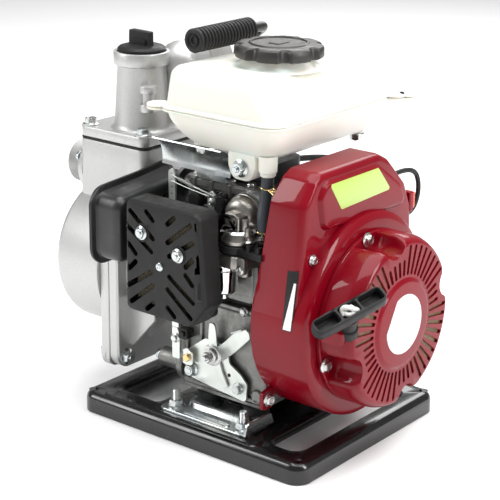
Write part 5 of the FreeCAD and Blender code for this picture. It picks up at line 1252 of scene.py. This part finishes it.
def brackets():
    """Folded zinc plates with a domed ridge and a turned-up end."""
    form = Form()
    for side in (-1, 1):
        def relief(outline, rows):
            form.stack([[Vector((x, side * y, z)) for x, y in inset(outline, depth)]
                        for z, depth in rows])

        plan = block_outline((-46, 57.5), (64, 103), [3, 3, 8, 8], 6)
        relief(plan, [(22.6, 0.4), (23, 0), (24.7, 0), (25.1, 0.4)])
        hump = block_outline((-26, 57.2), (48, 83), [2, 2, 9, 9], 6)
        relief(hump, [(24.6, -3), (25.2, -1.6), (27.6, -0.4), (29.3, 0.5), (30, 2), (30.1, 4)])
        ridge = slot_outline((-14, 96), (36, 96), 3.2, 8)
        relief(ridge, [(24.9, -0.8), (25.6, 0), (26.3, 0.9), (26.5, 2)])
        end = rounded([(57.5, 23), (103, 23), (99, 36), (62, 36)], [1, 1, 5, 5], 5)
        form.stack([[Vector((x, side * y, z)) for y, z in inset(end, depth)]
                    for x, depth in ((61.4, 0.5), (61.8, 0), (63.6, 0), (64, 0.5))])
    piece("mount_plates", form, "zinc_plate", stands_for="engine_brackets")


base_frame()
grip()
stud_nuts()
brackets()


# ------------------------------------------------------- engine block and head

CARB = Vector((36, -79, 0))
BOWL = (22, -84)


def pump_adapter():
    """Cast bell between the crankcase and the pump, its flange bolted to the casing."""
    low, high = local_box("pump_adapter")
    form = Form()
    flange = block_outline((low.y, low.z), (high.y, high.z), 18, 8)
    rows = [(low.x, 1), (low.x + 1, 0), (low.x + 10, 0), (low.x + 12, 1.4)]
    form.layers("X", flange, rows)
    form.stack([[Vector((x, *point)) for point in circle_outline((0, CRANK_Z), radius, 64)]
                for x, radius in ((low.x + 11, 68), (low.x + 14, 62), (high.x - 12, 47),
                                  (high.x - 3, 46), (high.x, 46))])
    for y in (-58, -30, 30, 58):
        rib = rounded([(low.x + 11, 52), (high.x - 14, CRANK_Z - 44), (high.x - 14, CRANK_Z - 30),
                       (low.x + 11, CRANK_Z - 24)], 3)
        form.layers("Y", rib, [(y - 3, 0.8), (y - 2, 0), (y + 2, 0), (y + 3, 0.8)])
    piece("adapter_body", form, "cast_aluminium", stands_for="pump_adapter")


def crankcase():
    """Crankcase with a parting ledge, a rounded tappet box, ribs and a foot flange."""
    low, high = local_box("crankcase")
    form = Form()
    body = rounded([(-66, 40), (66, 40), (66, 175), (-57, 175), (-57, 137), (-66, 131)],
                   [4, 4, 8, 8, 4, 6])
    form.layers("X", body, [(low.x, 3), (low.x + 1, 1.2), (low.x + 3, 0), (high.x - 3, 0),
                            (high.x - 1, 1.2), (high.x - 0.4, 3)])
    foot = block_outline((low.x, -69), (high.x - 2, 69), 7)
    form.layers("Z", foot, [(38, 0.8), (38.6, 0), (41.4, 0), (42, 0.8)])
    form.layers("Z", foot, [(42.6, 0.8), (43.2, 0), (46, 0), (47, 1.4)])
    tappet = block_outline((-2, 141), (50, 190), 12, 8)
    form.layers("Y", tappet, [(-56, 0), (-64, 0.4), (-66.4, 1.6), (-67, 4)])
    panel = block_outline((6, 149), (44, 186), 7, 8)
    form.layers("Y", panel, [(-66, 0), (-67.4, 0.4), (-68, 2)])
    seam = slot_outline((-42, 134), (54, 134), 2.2)
    form.layers("Y", seam, [(-60, 0), (-67.6, 0), (-68.4, 0.8)])
    for x in (-38, -20):
        rib = block_outline((x - 1.6, 48), (x + 1.6, 128), 1)
        form.layers("Y", rib, [(-60, 0), (-67.6, 0), (-68.2, 0.6)])
    for x, z in ((-40, 128), (50, 128), (50, 50)):
        form.lathe((x, -60, z), FRONT, [(0, 6.4), (8, 6.4), (9, 5.6)], 32)
    piece("crankcase_body", form, "crankcase_aluminium", stands_for="crankcase")
    screws = Form()
    for x, z in ((34.6, 134), (-40, 128), (50, 128)):
        screws.hex_screw((x, -68.4, z), FRONT, 4.9, 3.6, 3.6)
    piece("crankcase_screws", screws, "steel")


def crankcase_end():
    """End cover with its oil drain boss, a hose clip and a small plug holder."""
    high = local_box("crankcase_cover")[1]
    form = Form()
    plate = rounded([(-60, 44), (60, 44), (62, 110), (50, 172), (-50, 172), (-62, 110)], 12)
    form.layers("X", plate, [(high.x, 0.6), (high.x - 1, 0), (high.x - 5, 0), (high.x - 7, 1.8),
                             (high.x - 16, 7), (-71, 9), (-73, 12)])
    form.lathe((-45, -54, 55), LEFT, [(0, 15), (2, 15.6), (6, 15.6), (7.4, 14.6), (8.6, 11.4),
                                      (12, 10.2), (35, 9.8), (36.6, 8.6)], 48)
    piece("crankcase_cover_body", form, "crankcase_aluminium", stands_for="crankcase_cover")
    drain = Form()
    drain.hex_screw((-81.8, -54, 55), LEFT, 7.4, 5.6, 6)
    piece("drain_screw", drain, "zinc_plate", stands_for="oil_drain_plug")
    clip = Form()
    strap = rounded([(-53, 66), (-43, 66), (-43, 92), (-46, 99), (-53, 99)], 2)
    clip.layers("Y", strap, sheet_rows(-73.4, -71.4))
    clip.hex_screw((-48, -73.4, 88), FRONT, 5, 3.7, 4)
    piece("wire_strap", clip, "pale_zinc")
    holder = Form()
    holder.box((-42, -76, 90), (-31, -68, 101), "Y", 2)
    holder.box((-39, -78.5, 93), (-34, -75, 98), "Y", 1.2)
    piece("wire_holder", holder, "black_plastic")


def cylinder_head():
    """Finned head with the machined flange and cast webs of its intake side."""
    low, high = local_box("cylinder_head")
    form = Form()
    slab = block_outline((low.x, low.y + 2), (high.x - 2, high.y), 6)
    rows = []
    z = low.z
    while z < high.z - 4:
        rows += [(z, 0.4), (z + 0.3, 0), (z + 1.9, 0), (z + 2.2, 0.4), (z + 2.4, 4.5),
                 (z + 4, 4.5)]
        z += 4.3
    rows += [(high.z - 3.4, 0.4), (high.z - 3, 0), (high.z - 0.6, 0), (high.z, 0.8)]
    form.layers("Z", slab, rows)
    rail = block_outline((-52, 240), (40, 247), 2)
    form.layers("Y", rail, [(-44, 0), (-47, 0), (-48, 0.8)])
    for x in (-46, -24, -2, 20, 38):
        form.lathe((x, -44.5, low.z + 1), UP, [(0, 4.4), (0.6, 5), (22, 5), (23, 4)], 24)
    piece("head_casting", form, "crankcase_aluminium", stands_for="cylinder_head")
    bolts = Form()
    for x in (-46, -24, -2, 20):
        bolts.hex_screw((x, -42.5, high.z - 0.2), UP, 5, 3.8, 4)
    piece("head_screws", bolts, "steel")


def heat_shield():
    """Bright sheet that curls over the head beside the silencer."""
    outer = [(-66, 284), (-60, 282), (-54.5, 277), (-51.6, 270), (-50.6, 262), (-51.4, 256)]
    inner = [(-50.2, 256), (-49.4, 262), (-50.4, 270.4), (-53.5, 278), (-59.5, 283.2),
             (-65.6, 285.2)]
    form = Form()
    sheet = [point for side in (outer, inner)
             for point in smooth_line([(0, *spot) for spot in side], 4)]
    form.stack([[point + Vector((x, 0, 0)) for point in sheet]
                for x in (-84, -83, -60, -30, -2, 1, 2)])
    foot = block_outline((-40, -50), (-4, -40), 2)
    form.layers("Z", foot, sheet_rows(249.2, 251.2))
    riser = block_outline((-40, 250), (-4, 262), 1)
    form.layers("Y", riser, [(-50.6, 0), (-49.2, 0)])
    piece("heat_sheet", form, "zinc_plate", stands_for="heat_shield")


# ----------------------------------------------------------------- carburettor

def carburettor():
    """Cast body, valve block, chrome disc, neck and the float bowl's seat."""
    x, y = CARB.x, CARB.y
    form = Form()
    form.lathe((30, -61, 230), FRONT, [(0, 16), (2, 18), (6, 18), (9, 17), (13, 15.4),
                                       (15.5, 12.6), (16.6, 8), (16.8, 0)], 48)
    form.lathe((30, -62, 230), FRONT, [(0, 18.6), (2.6, 18.6), (3, 18)], 48)
    form.lathe((x - 1, y, 206.8), UP, [(0, 15), (1, 16.4), (4, 16.6), (6, 15.4), (11.6, 14)], 48)
    form.lathe((x - 1, y, 185), UP, [(0, 12), (12, 11.4), (13.4, 10.6), (14.6, 10.6)], 48)
    low_body = rounded([(9, -95), (40, -97), (54, -90), (56, -70), (12, -66)], [5, 5, 4, 3, 3])
    form.layers("Z", low_body, [(184.6, 1.2), (185.6, 0.2), (190, 0), (196, 1), (197.6, 2.6)])
    form.box((47, -96.5, 182), (56, -92, 198.4), "Y", 2.5)
    form.lathe((46, -82, 176), UP, [(0, 5), (1, 6.4), (9, 6.4)], 32)
    form.lathe((*BOWL, 181), UP, [(0, 14.6), (3.4, 15), (4.4, 14)], 48)
    form.rod((54, -77, 211), (61.5, -76, 215), 3.6, edge=0.8)
    form.thread((61.5, -76, 213), (61.5, -76, 222), 3, 2.4, 0.7)
    piece("carb_body", form, "carb_metal", stands_for="carburettor", bevel=0.5)
    block = Form()
    outline = rounded([(26, 220), (43, 220), (43, 233), (38, 236), (26, 236)], 2)
    block.layers("Y", outline, [(-72, 0), (-88.4, 0), (-89.2, 0.8)])
    block.layers("Y", inset(outline, 4), [(-89, 0), (-91, 0), (-91.6, 0.6)])
    block.rod((47, -84, 216), (47, -84, 232), 3.4, edge=0.8)
    block.rod((51, -86, 214), (51, -86, 225), 2.6, edge=0.6)
    piece("carb_valve_block", block, "carb_metal", bevel=0.4)
    disc = Form()
    disc.lathe((x - 1, y, 217.4), UP, [(0, 16), (0.8, 17.4), (2.6, 17.6), (3.4, 16.8), (3.2, 15.6),
                                       (2.4, 14.6), (2.2, 12), (3, 10.6), (3.2, 9), (2.6, 7.4),
                                       (2.6, 0)], 56)
    piece("carb_disc", disc, "chrome_steel")
    screws = Form()
    screws.hex_screw((51.5, -96.5, 187), FRONT, 4.2, 3, 3)
    screws.hex_screw((54, -88, 212), UP, 4.4, 3.2, 4.6)
    screws.hex_screw((12, -90, 213), UP, 4, 3, 3.6)
    screws.rod((26, -99, 160), (26, -92, 160), 2.6, edge=0.5)
    piece("carb_screws", screws, "steel")


def float_bowl():
    """Turned bowl with its drain hexagon."""
    form = Form()
    form.lathe((*BOWL, 150), UP, [(0, 3), (0.4, 4.6), (4.6, 4.6), (5, 7.4), (6, 10.4), (8, 12.6),
                                  (11, 13.4), (29, 13.5), (30, 14.2), (31, 15), (34.4, 15),
                                  (35, 14.4)], 56)
    form.hexagon((*BOWL, 152.5), (*BOWL, 150), 5)
    piece("bowl_cup", form, "chrome_steel", stands_for="float_bowl", sharp=25)


def fuel_tap():
    """Black ring on the carburettor's neck with its forked handle."""
    x, y = CARB.x, CARB.y
    form = Form()
    form.lathe((x - 1, y, 199), UP, [(0, 12.4), (0, 17), (0.8, 17.8), (6.6, 17.8), (7.4, 17),
                                     (7.4, 12.4)], 56, closed=True)
    arm = rounded([(x + 8, y - 15), (x + 26, y - 17), (x + 39, y - 18), (x + 39, y - 9),
                   (x + 14, y + 4)], [2, 2, 1.4, 1.4, 2])
    form.layers("Z", arm, [(199.4, 0.6), (200, 0), (205, 0), (205.6, 0.6)])
    for spot in (x + 20, x + 31):
        form.box((spot, y - 16, 204), (spot + 4, y - 9, 211), "Z", 1)
    piece("tap_ring", form, "black_plastic", "fuel_tap", "fuel_tap_lever", bevel=0.4)


def choke_lever():
    """Round black knob on a flat lever, with its lobed hub."""
    form = Form()
    form.lathe((-30, -57, 232), FRONT, [(0, 6.6), (1, 8), (6, 8.4), (9, 8), (10.6, 6.4), (11, 3),
                                        (11, 0)], 40)
    arm = slot_outline((-30, 232), (4, 231), 3.4)
    form.layers("Y", arm, sheet_rows(-61, -58.4))
    form.lathe((4, -57.5, 231), FRONT, [(0, 4.6), (0.5, 5.2), (3.4, 5.2), (3.9, 4.6)], 32)
    piece("choke_knob", form, "black_plastic", "choke", "choke_lever")
    star = Form()
    for turn in range(6):
        angle = math.radians(60 * turn)
        star.lathe((4 + 4.6 * math.cos(angle), -62.4, 238 + 4.6 * math.sin(angle)), FRONT,
                   [(0, 2.8), (5, 2.8), (6, 2)], 20)
    star.lathe((4, -62.4, 238), FRONT, [(0, 5), (7, 5), (7.8, 4)], 32)
    piece("idle_knob", star, "black_plastic")
    bracket = Form()
    tab = rounded([(-16, 226), (-6, 226), (-6, 240), (-11, 244), (-16, 240)], 2)
    bracket.layers("Y", tab, sheet_rows(-63.6, -61.4))
    bracket.hex_screw((-11, -63.6, 233), FRONT, 3.6, 2.6, 2.8)
    piece("choke_bracket", bracket, "pale_zinc")


def fuel_hose():
    """Rubber hose from the tank outlet to the carburettor, with its wire clips."""
    form = Form()
    form.pipe([(56, -63, 271), (56, -64, 262), (57, -68, 246), (59, -73, 232), (61.5, -76, 219)],
              5.9, 28, resolution=10)
    piece("hose_body", form, "hose_rubber", stands_for="fuel_hose")
    clips = Form()
    for centre in (Vector((56.2, -64.6, 260)), Vector((61, -75.6, 221.5))):
        loop = [centre + Vector((6.4 * math.cos(a), 6.4 * math.sin(a), 0.6 * math.sin(2 * a)))
                for a in [math.pi * k / 8 for k in range(17)]]
        clips.pipe(loop, 0.55, 8, resolution=3)
        for lift in (-1.4, 1.4):
            ear = [centre + Vector(spot) for spot in
                   ((4, -5, 0), (8, -6, lift / 2), (13, -7, lift * 2), (15.6, -7.4, lift),
                    (13, -7.4, 0), (8, -6, -lift / 2))]
            clips.pipe(ear, 0.55, 8, resolution=4)
    piece("hose_clips", clips, "brass_wire")


# ------------------------------------------------- throttle and governor levers

def at_pivot(y):
    """A point on the throttle pivot's axis."""
    return Vector((1, y, 83))


def throttle_plate():
    """Zinc control plate, its bolts, its stop screw and the pivot's spring stack."""
    form = Form()
    outline = rounded([(-35, 53), (-20, 50), (41, 43), (42, 62), (34, 70), (20, 78), (17, 95),
                       (-10, 97), (-35, 78)], [4, 3, 4, 5, 8, 6, 5, 8, 6])
    form.plate("Y", -73, -71, outline, [circle_outline((20, 66), 2, 16)])
    form.lathe(at_pivot(-73), BACK, [(0, 7), (5.6, 7)], 32)
    tab = rounded([(-35, 66), (-22, 66), (-22, 80), (-29, 84), (-35, 80)], 3)
    form.layers("Y", tab, sheet_rows(-79, -77))
    form.box((-35, -79, 68), (-33.6, -71, 80), "Y", 0.4)
    piece("control_plate", form, "pale_zinc", stands_for="throttle_plate", bevel=0.35)
    screws = Form()
    screws.hex_screw((-27, -73, 60), FRONT, 7.6, 5.6, 6)
    screws.hex_screw((31.7, -73, 55.4), FRONT, 5.9, 5.2, 5.6)
    piece("control_plate_screws", screws, "zinc_plate")
    stop = Form()
    stop.lathe((-28, -79, 74), FRONT, [(0, 3.4), (0.6, 4), (2.4, 4), (3, 3.4)], 28)
    stop.rod((-28, -79.5, 74), (-28, -71, 74), 1.5)
    piece("control_stop_screw", stop, "brass_wire")
    stack = Form()
    stack.lathe(at_pivot(-76.2), FRONT, [(0, 10), (0.3, 10.6), (1, 10.6), (1.3, 10)], 48)
    stack.lathe(at_pivot(-80), FRONT, [(0, 7.4), (0.3, 8), (1, 8), (1.3, 7.4)], 40)
    stack.hexagon(at_pivot(-81.2), at_pivot(-86), 5.4)
    stack.thread(at_pivot(-85), at_pivot(-89), 3)
    coil = [Vector((1 + 6.4 * math.cos(a), -77.6 - 0.35 * a / 2, 83 + 6.4 * math.sin(a)))
            for a in [math.pi * k / 6 for k in range(37)]]
    stack.follow(coil, 0.8, 8)
    piece("throttle_pivot_stack", stack, "steel", "throttle")


def throttle_lever():
    """Broad arm that bends outward to its thumb tip, a short top arm and a tail."""
    form = Form()

    def outward(x):
        return max(0.0, x - 22) * 0.5

    def sheet(outline):
        fine = dense(outline, 3)
        form.stack([[Vector((x, y - outward(x), z)) for x, z in inset(fine, depth)]
                    for y, depth in ((-73.7, 0.4), (-74.1, 0), (-75.5, 0), (-75.9, 0.4))])

    sheet(rounded([(-6, 76), (8, 76), (34, 96), (63, 121), (62, 127), (54, 128), (30, 114),
                   (8, 93), (-4, 93)], [5, 6, 20, 3, 2, 3, 10, 12, 6]))
    sheet(rounded([(-5, 88), (7, 88), (5, 108), (3.6, 116), (-3, 116), (-4, 106)],
                  [2, 2, 6, 3, 3, 6]))
    sheet(rounded([(-6, 84), (8, 84), (13, 70), (21, 54.5), (15.5, 51.4), (4, 66)],
                  [3, 3, 8, 3, 3, 8]))
    lip = [(55, 128.2), (34, 117), (33.4, 118.2), (54.4, 129.4)]
    form.stack([[Vector((x, y - outward(x), z)) for x, z in dense(lip, 3)]
                for y in (-74, -78, -81.4, -82)])
    form.lathe(at_pivot(-73.8), FRONT, [(0, 10.4), (0.4, 11), (2.2, 11), (2.6, 10.4)], 48)
    piece("throttle_arm", form, "pale_zinc", "throttle", "throttle_lever")


def governor_lever():
    """Perforated bar with a hooked head, its rod and its fine spring."""
    form = Form()
    bar = slot_outline((-59, 253), (-55, 96), 4.2)
    holes = [circle_outline((-59 + 0.12 * k, 252 - 6.5 * k), 1.3, 14) for k in range(5)]
    form.plate("Y", -66, -64, bar, holes)
    form.pipe([(-59, -66.4, 252), (-40, -66.4, 247), (-20, -66, 243), (-6, -65, 240)], 0.7, 8)
    form.pipe([(-59, -66.6, 246), (-36, -66.6, 242), (-12, -66, 239)], 0.5, 8)
    coil = [Vector((-50 + 0.16 * k, -66.6 + 1.5 * math.cos(k * 0.9),
                    249.6 - 0.04 * k + 1.5 * math.sin(k * 0.9))) for k in range(120)]
    form.follow(coil, 0.32, 6)
    piece("governor_bar", form, "pale_zinc", "governor", "governor_lever")


# -------------------------------------------------------------- switch and wires

def stop_switch():
    """Orange-red rocker on the shroud."""
    low, high = local_box("stop_switch")
    form = Form()
    base = low.y + 0.8
    rocker = rounded([(low.x, base), (high.x, base), (high.x, high.y - 1.6),
                      ((low.x + high.x) / 2, high.y), (low.x, high.y - 1.6)], 1)
    form.layers("Z", rocker, [(low.z, 0.8), (low.z + 0.8, 0), (high.z - 0.8, 0), (high.z, 0.8)])
    piece("switch_key", form, "red_plastic", "switch_rocker", "stop_switch")


def cable(name, points, radius, node):
    """A cord along the CAD node's own route, held at both of its ends."""
    data = bpy.data.curves.new(name, "CURVE")
    data.dimensions = "3D"
    data.bevel_depth = radius * MM
    data.bevel_resolution = 6
    data.resolution_u = 24
    data.use_fill_caps = True
    line = data.splines.new("NURBS")
    line.points.add(len(points) - 1)
    for spot, point in zip(line.points, points):
        spot.co = (*(Vector(point) * MM + SHIFT), 1)
    line.order_u = 3
    line.use_endpoint_u = True
    data.materials.append(PAINT["rubber"])
    made = bpy.data.objects.new(name, data)
    bpy.context.scene.collection.objects.link(made)
    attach(made, "machine")
    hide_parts(node)


pump_adapter()
crankcase()
crankcase_end()
cylinder_head()
heat_shield()
carburettor()
float_bowl()
fuel_tap()
choke_lever()
fuel_hose()
throttle_plate()
throttle_lever()
governor_lever()
stop_switch()
cable("switch_cable", [(100, 80.5, 250), (100, 116, 252), (100, 130, 226), (100, 116, 200),
                       (100, 91, 205)], 2.5, "stop_switch_wire")
cable("spark_cable", [(-12, 71.6, 247.5), (-2, 106, 246), (44, 102, 244), (64, 62, 238),
                      (88, 48, 232), (88, 24.3, 232)], 3.2, "ignition_lead")


# ------------------------------------------------------- camera, light, floor

CAMERA_PLACE = Vector((898.74, -1152.93, 658.57))
CAMERA_AZIMUTH, CAMERA_ELEVATION, CAMERA_ROLL = 38.36, 18.45, 0.66
CAMERA_LENS, CAMERA_FILM, CAMERA_RANGE = 112.14, 36, 20
LIGHTS_AIM, WORLD_LIGHT = Vector((0, 0, 0.19)), 0.30
FLOOR_HALF, FLOOR_DROP = 12, 0.0004


def camera():
    """The photograph's viewpoint."""
    data = bpy.data.cameras.new("camera")
    data.lens = CAMERA_LENS
    data.sensor_width = CAMERA_FILM
    data.clip_end = CAMERA_RANGE
    made = bpy.data.objects.new("camera", data)
    turn = (Matrix.Rotation(math.radians(CAMERA_AZIMUTH), 4, "Z")
            @ Matrix.Rotation(math.radians(90 - CAMERA_ELEVATION), 4, "X")
            @ Matrix.Rotation(math.radians(CAMERA_ROLL), 4, "Z"))
    made.matrix_world = Matrix.Translation(CAMERA_PLACE * MM + SHIFT) @ turn
    bpy.context.scene.collection.objects.link(made)
    bpy.context.scene.camera = made


def area_light(name, place, size, power):
    """A soft rectangular light aimed at the object."""
    data = bpy.data.lights.new(name, "AREA")
    data.shape = "RECTANGLE"
    data.size, data.size_y = size
    data.energy = power
    made = bpy.data.objects.new(name, data)
    made.location = place
    aim = LIGHTS_AIM - Vector(place)
    made.rotation_euler = aim.to_track_quat("-Z", "Y").to_euler()
    bpy.context.scene.collection.objects.link(made)


def studio():
    """Four soft lights round the object, and an even white surrounding."""
    area_light("overhead_soft", (0.2, 0.1, 2.2), (2.2, 2.2), 62)
    area_light("front_left_soft", (-1.5, -1.5, 1.4), (0.7, 1.6), 30)
    area_light("right_soft", (1.9, 0.2, 1.3), (0.5, 1.5), 30)
    area_light("back_soft", (-0.8, 2.0, 1.6), (1.6, 1.0), 24)
    world = bpy.data.worlds.new("studio")
    world.use_nodes = True
    background = world.node_tree.nodes["Background"].inputs
    background["Color"].default_value = (1, 1, 1, 1)
    background["Strength"].default_value = WORLD_LIGHT
    bpy.context.scene.world = world
    bpy.context.scene.view_settings.view_transform = "Standard"


def floor():
    """A wide pale sheet just under the object."""
    mesh = bmesh.new()
    bmesh.ops.create_grid(mesh, x_segments=8, y_segments=8, size=FLOOR_HALF)
    data = bpy.data.meshes.new("floor")
    mesh.to_mesh(data)
    mesh.free()
    data.materials.append(PAINT["floor_sheet"])
    made = bpy.data.objects.new("floor", data)
    made.location.z = -FLOOR_DROP
    bpy.context.scene.collection.objects.link(made)


paint_carried_nodes()
camera()
studio()
floor()
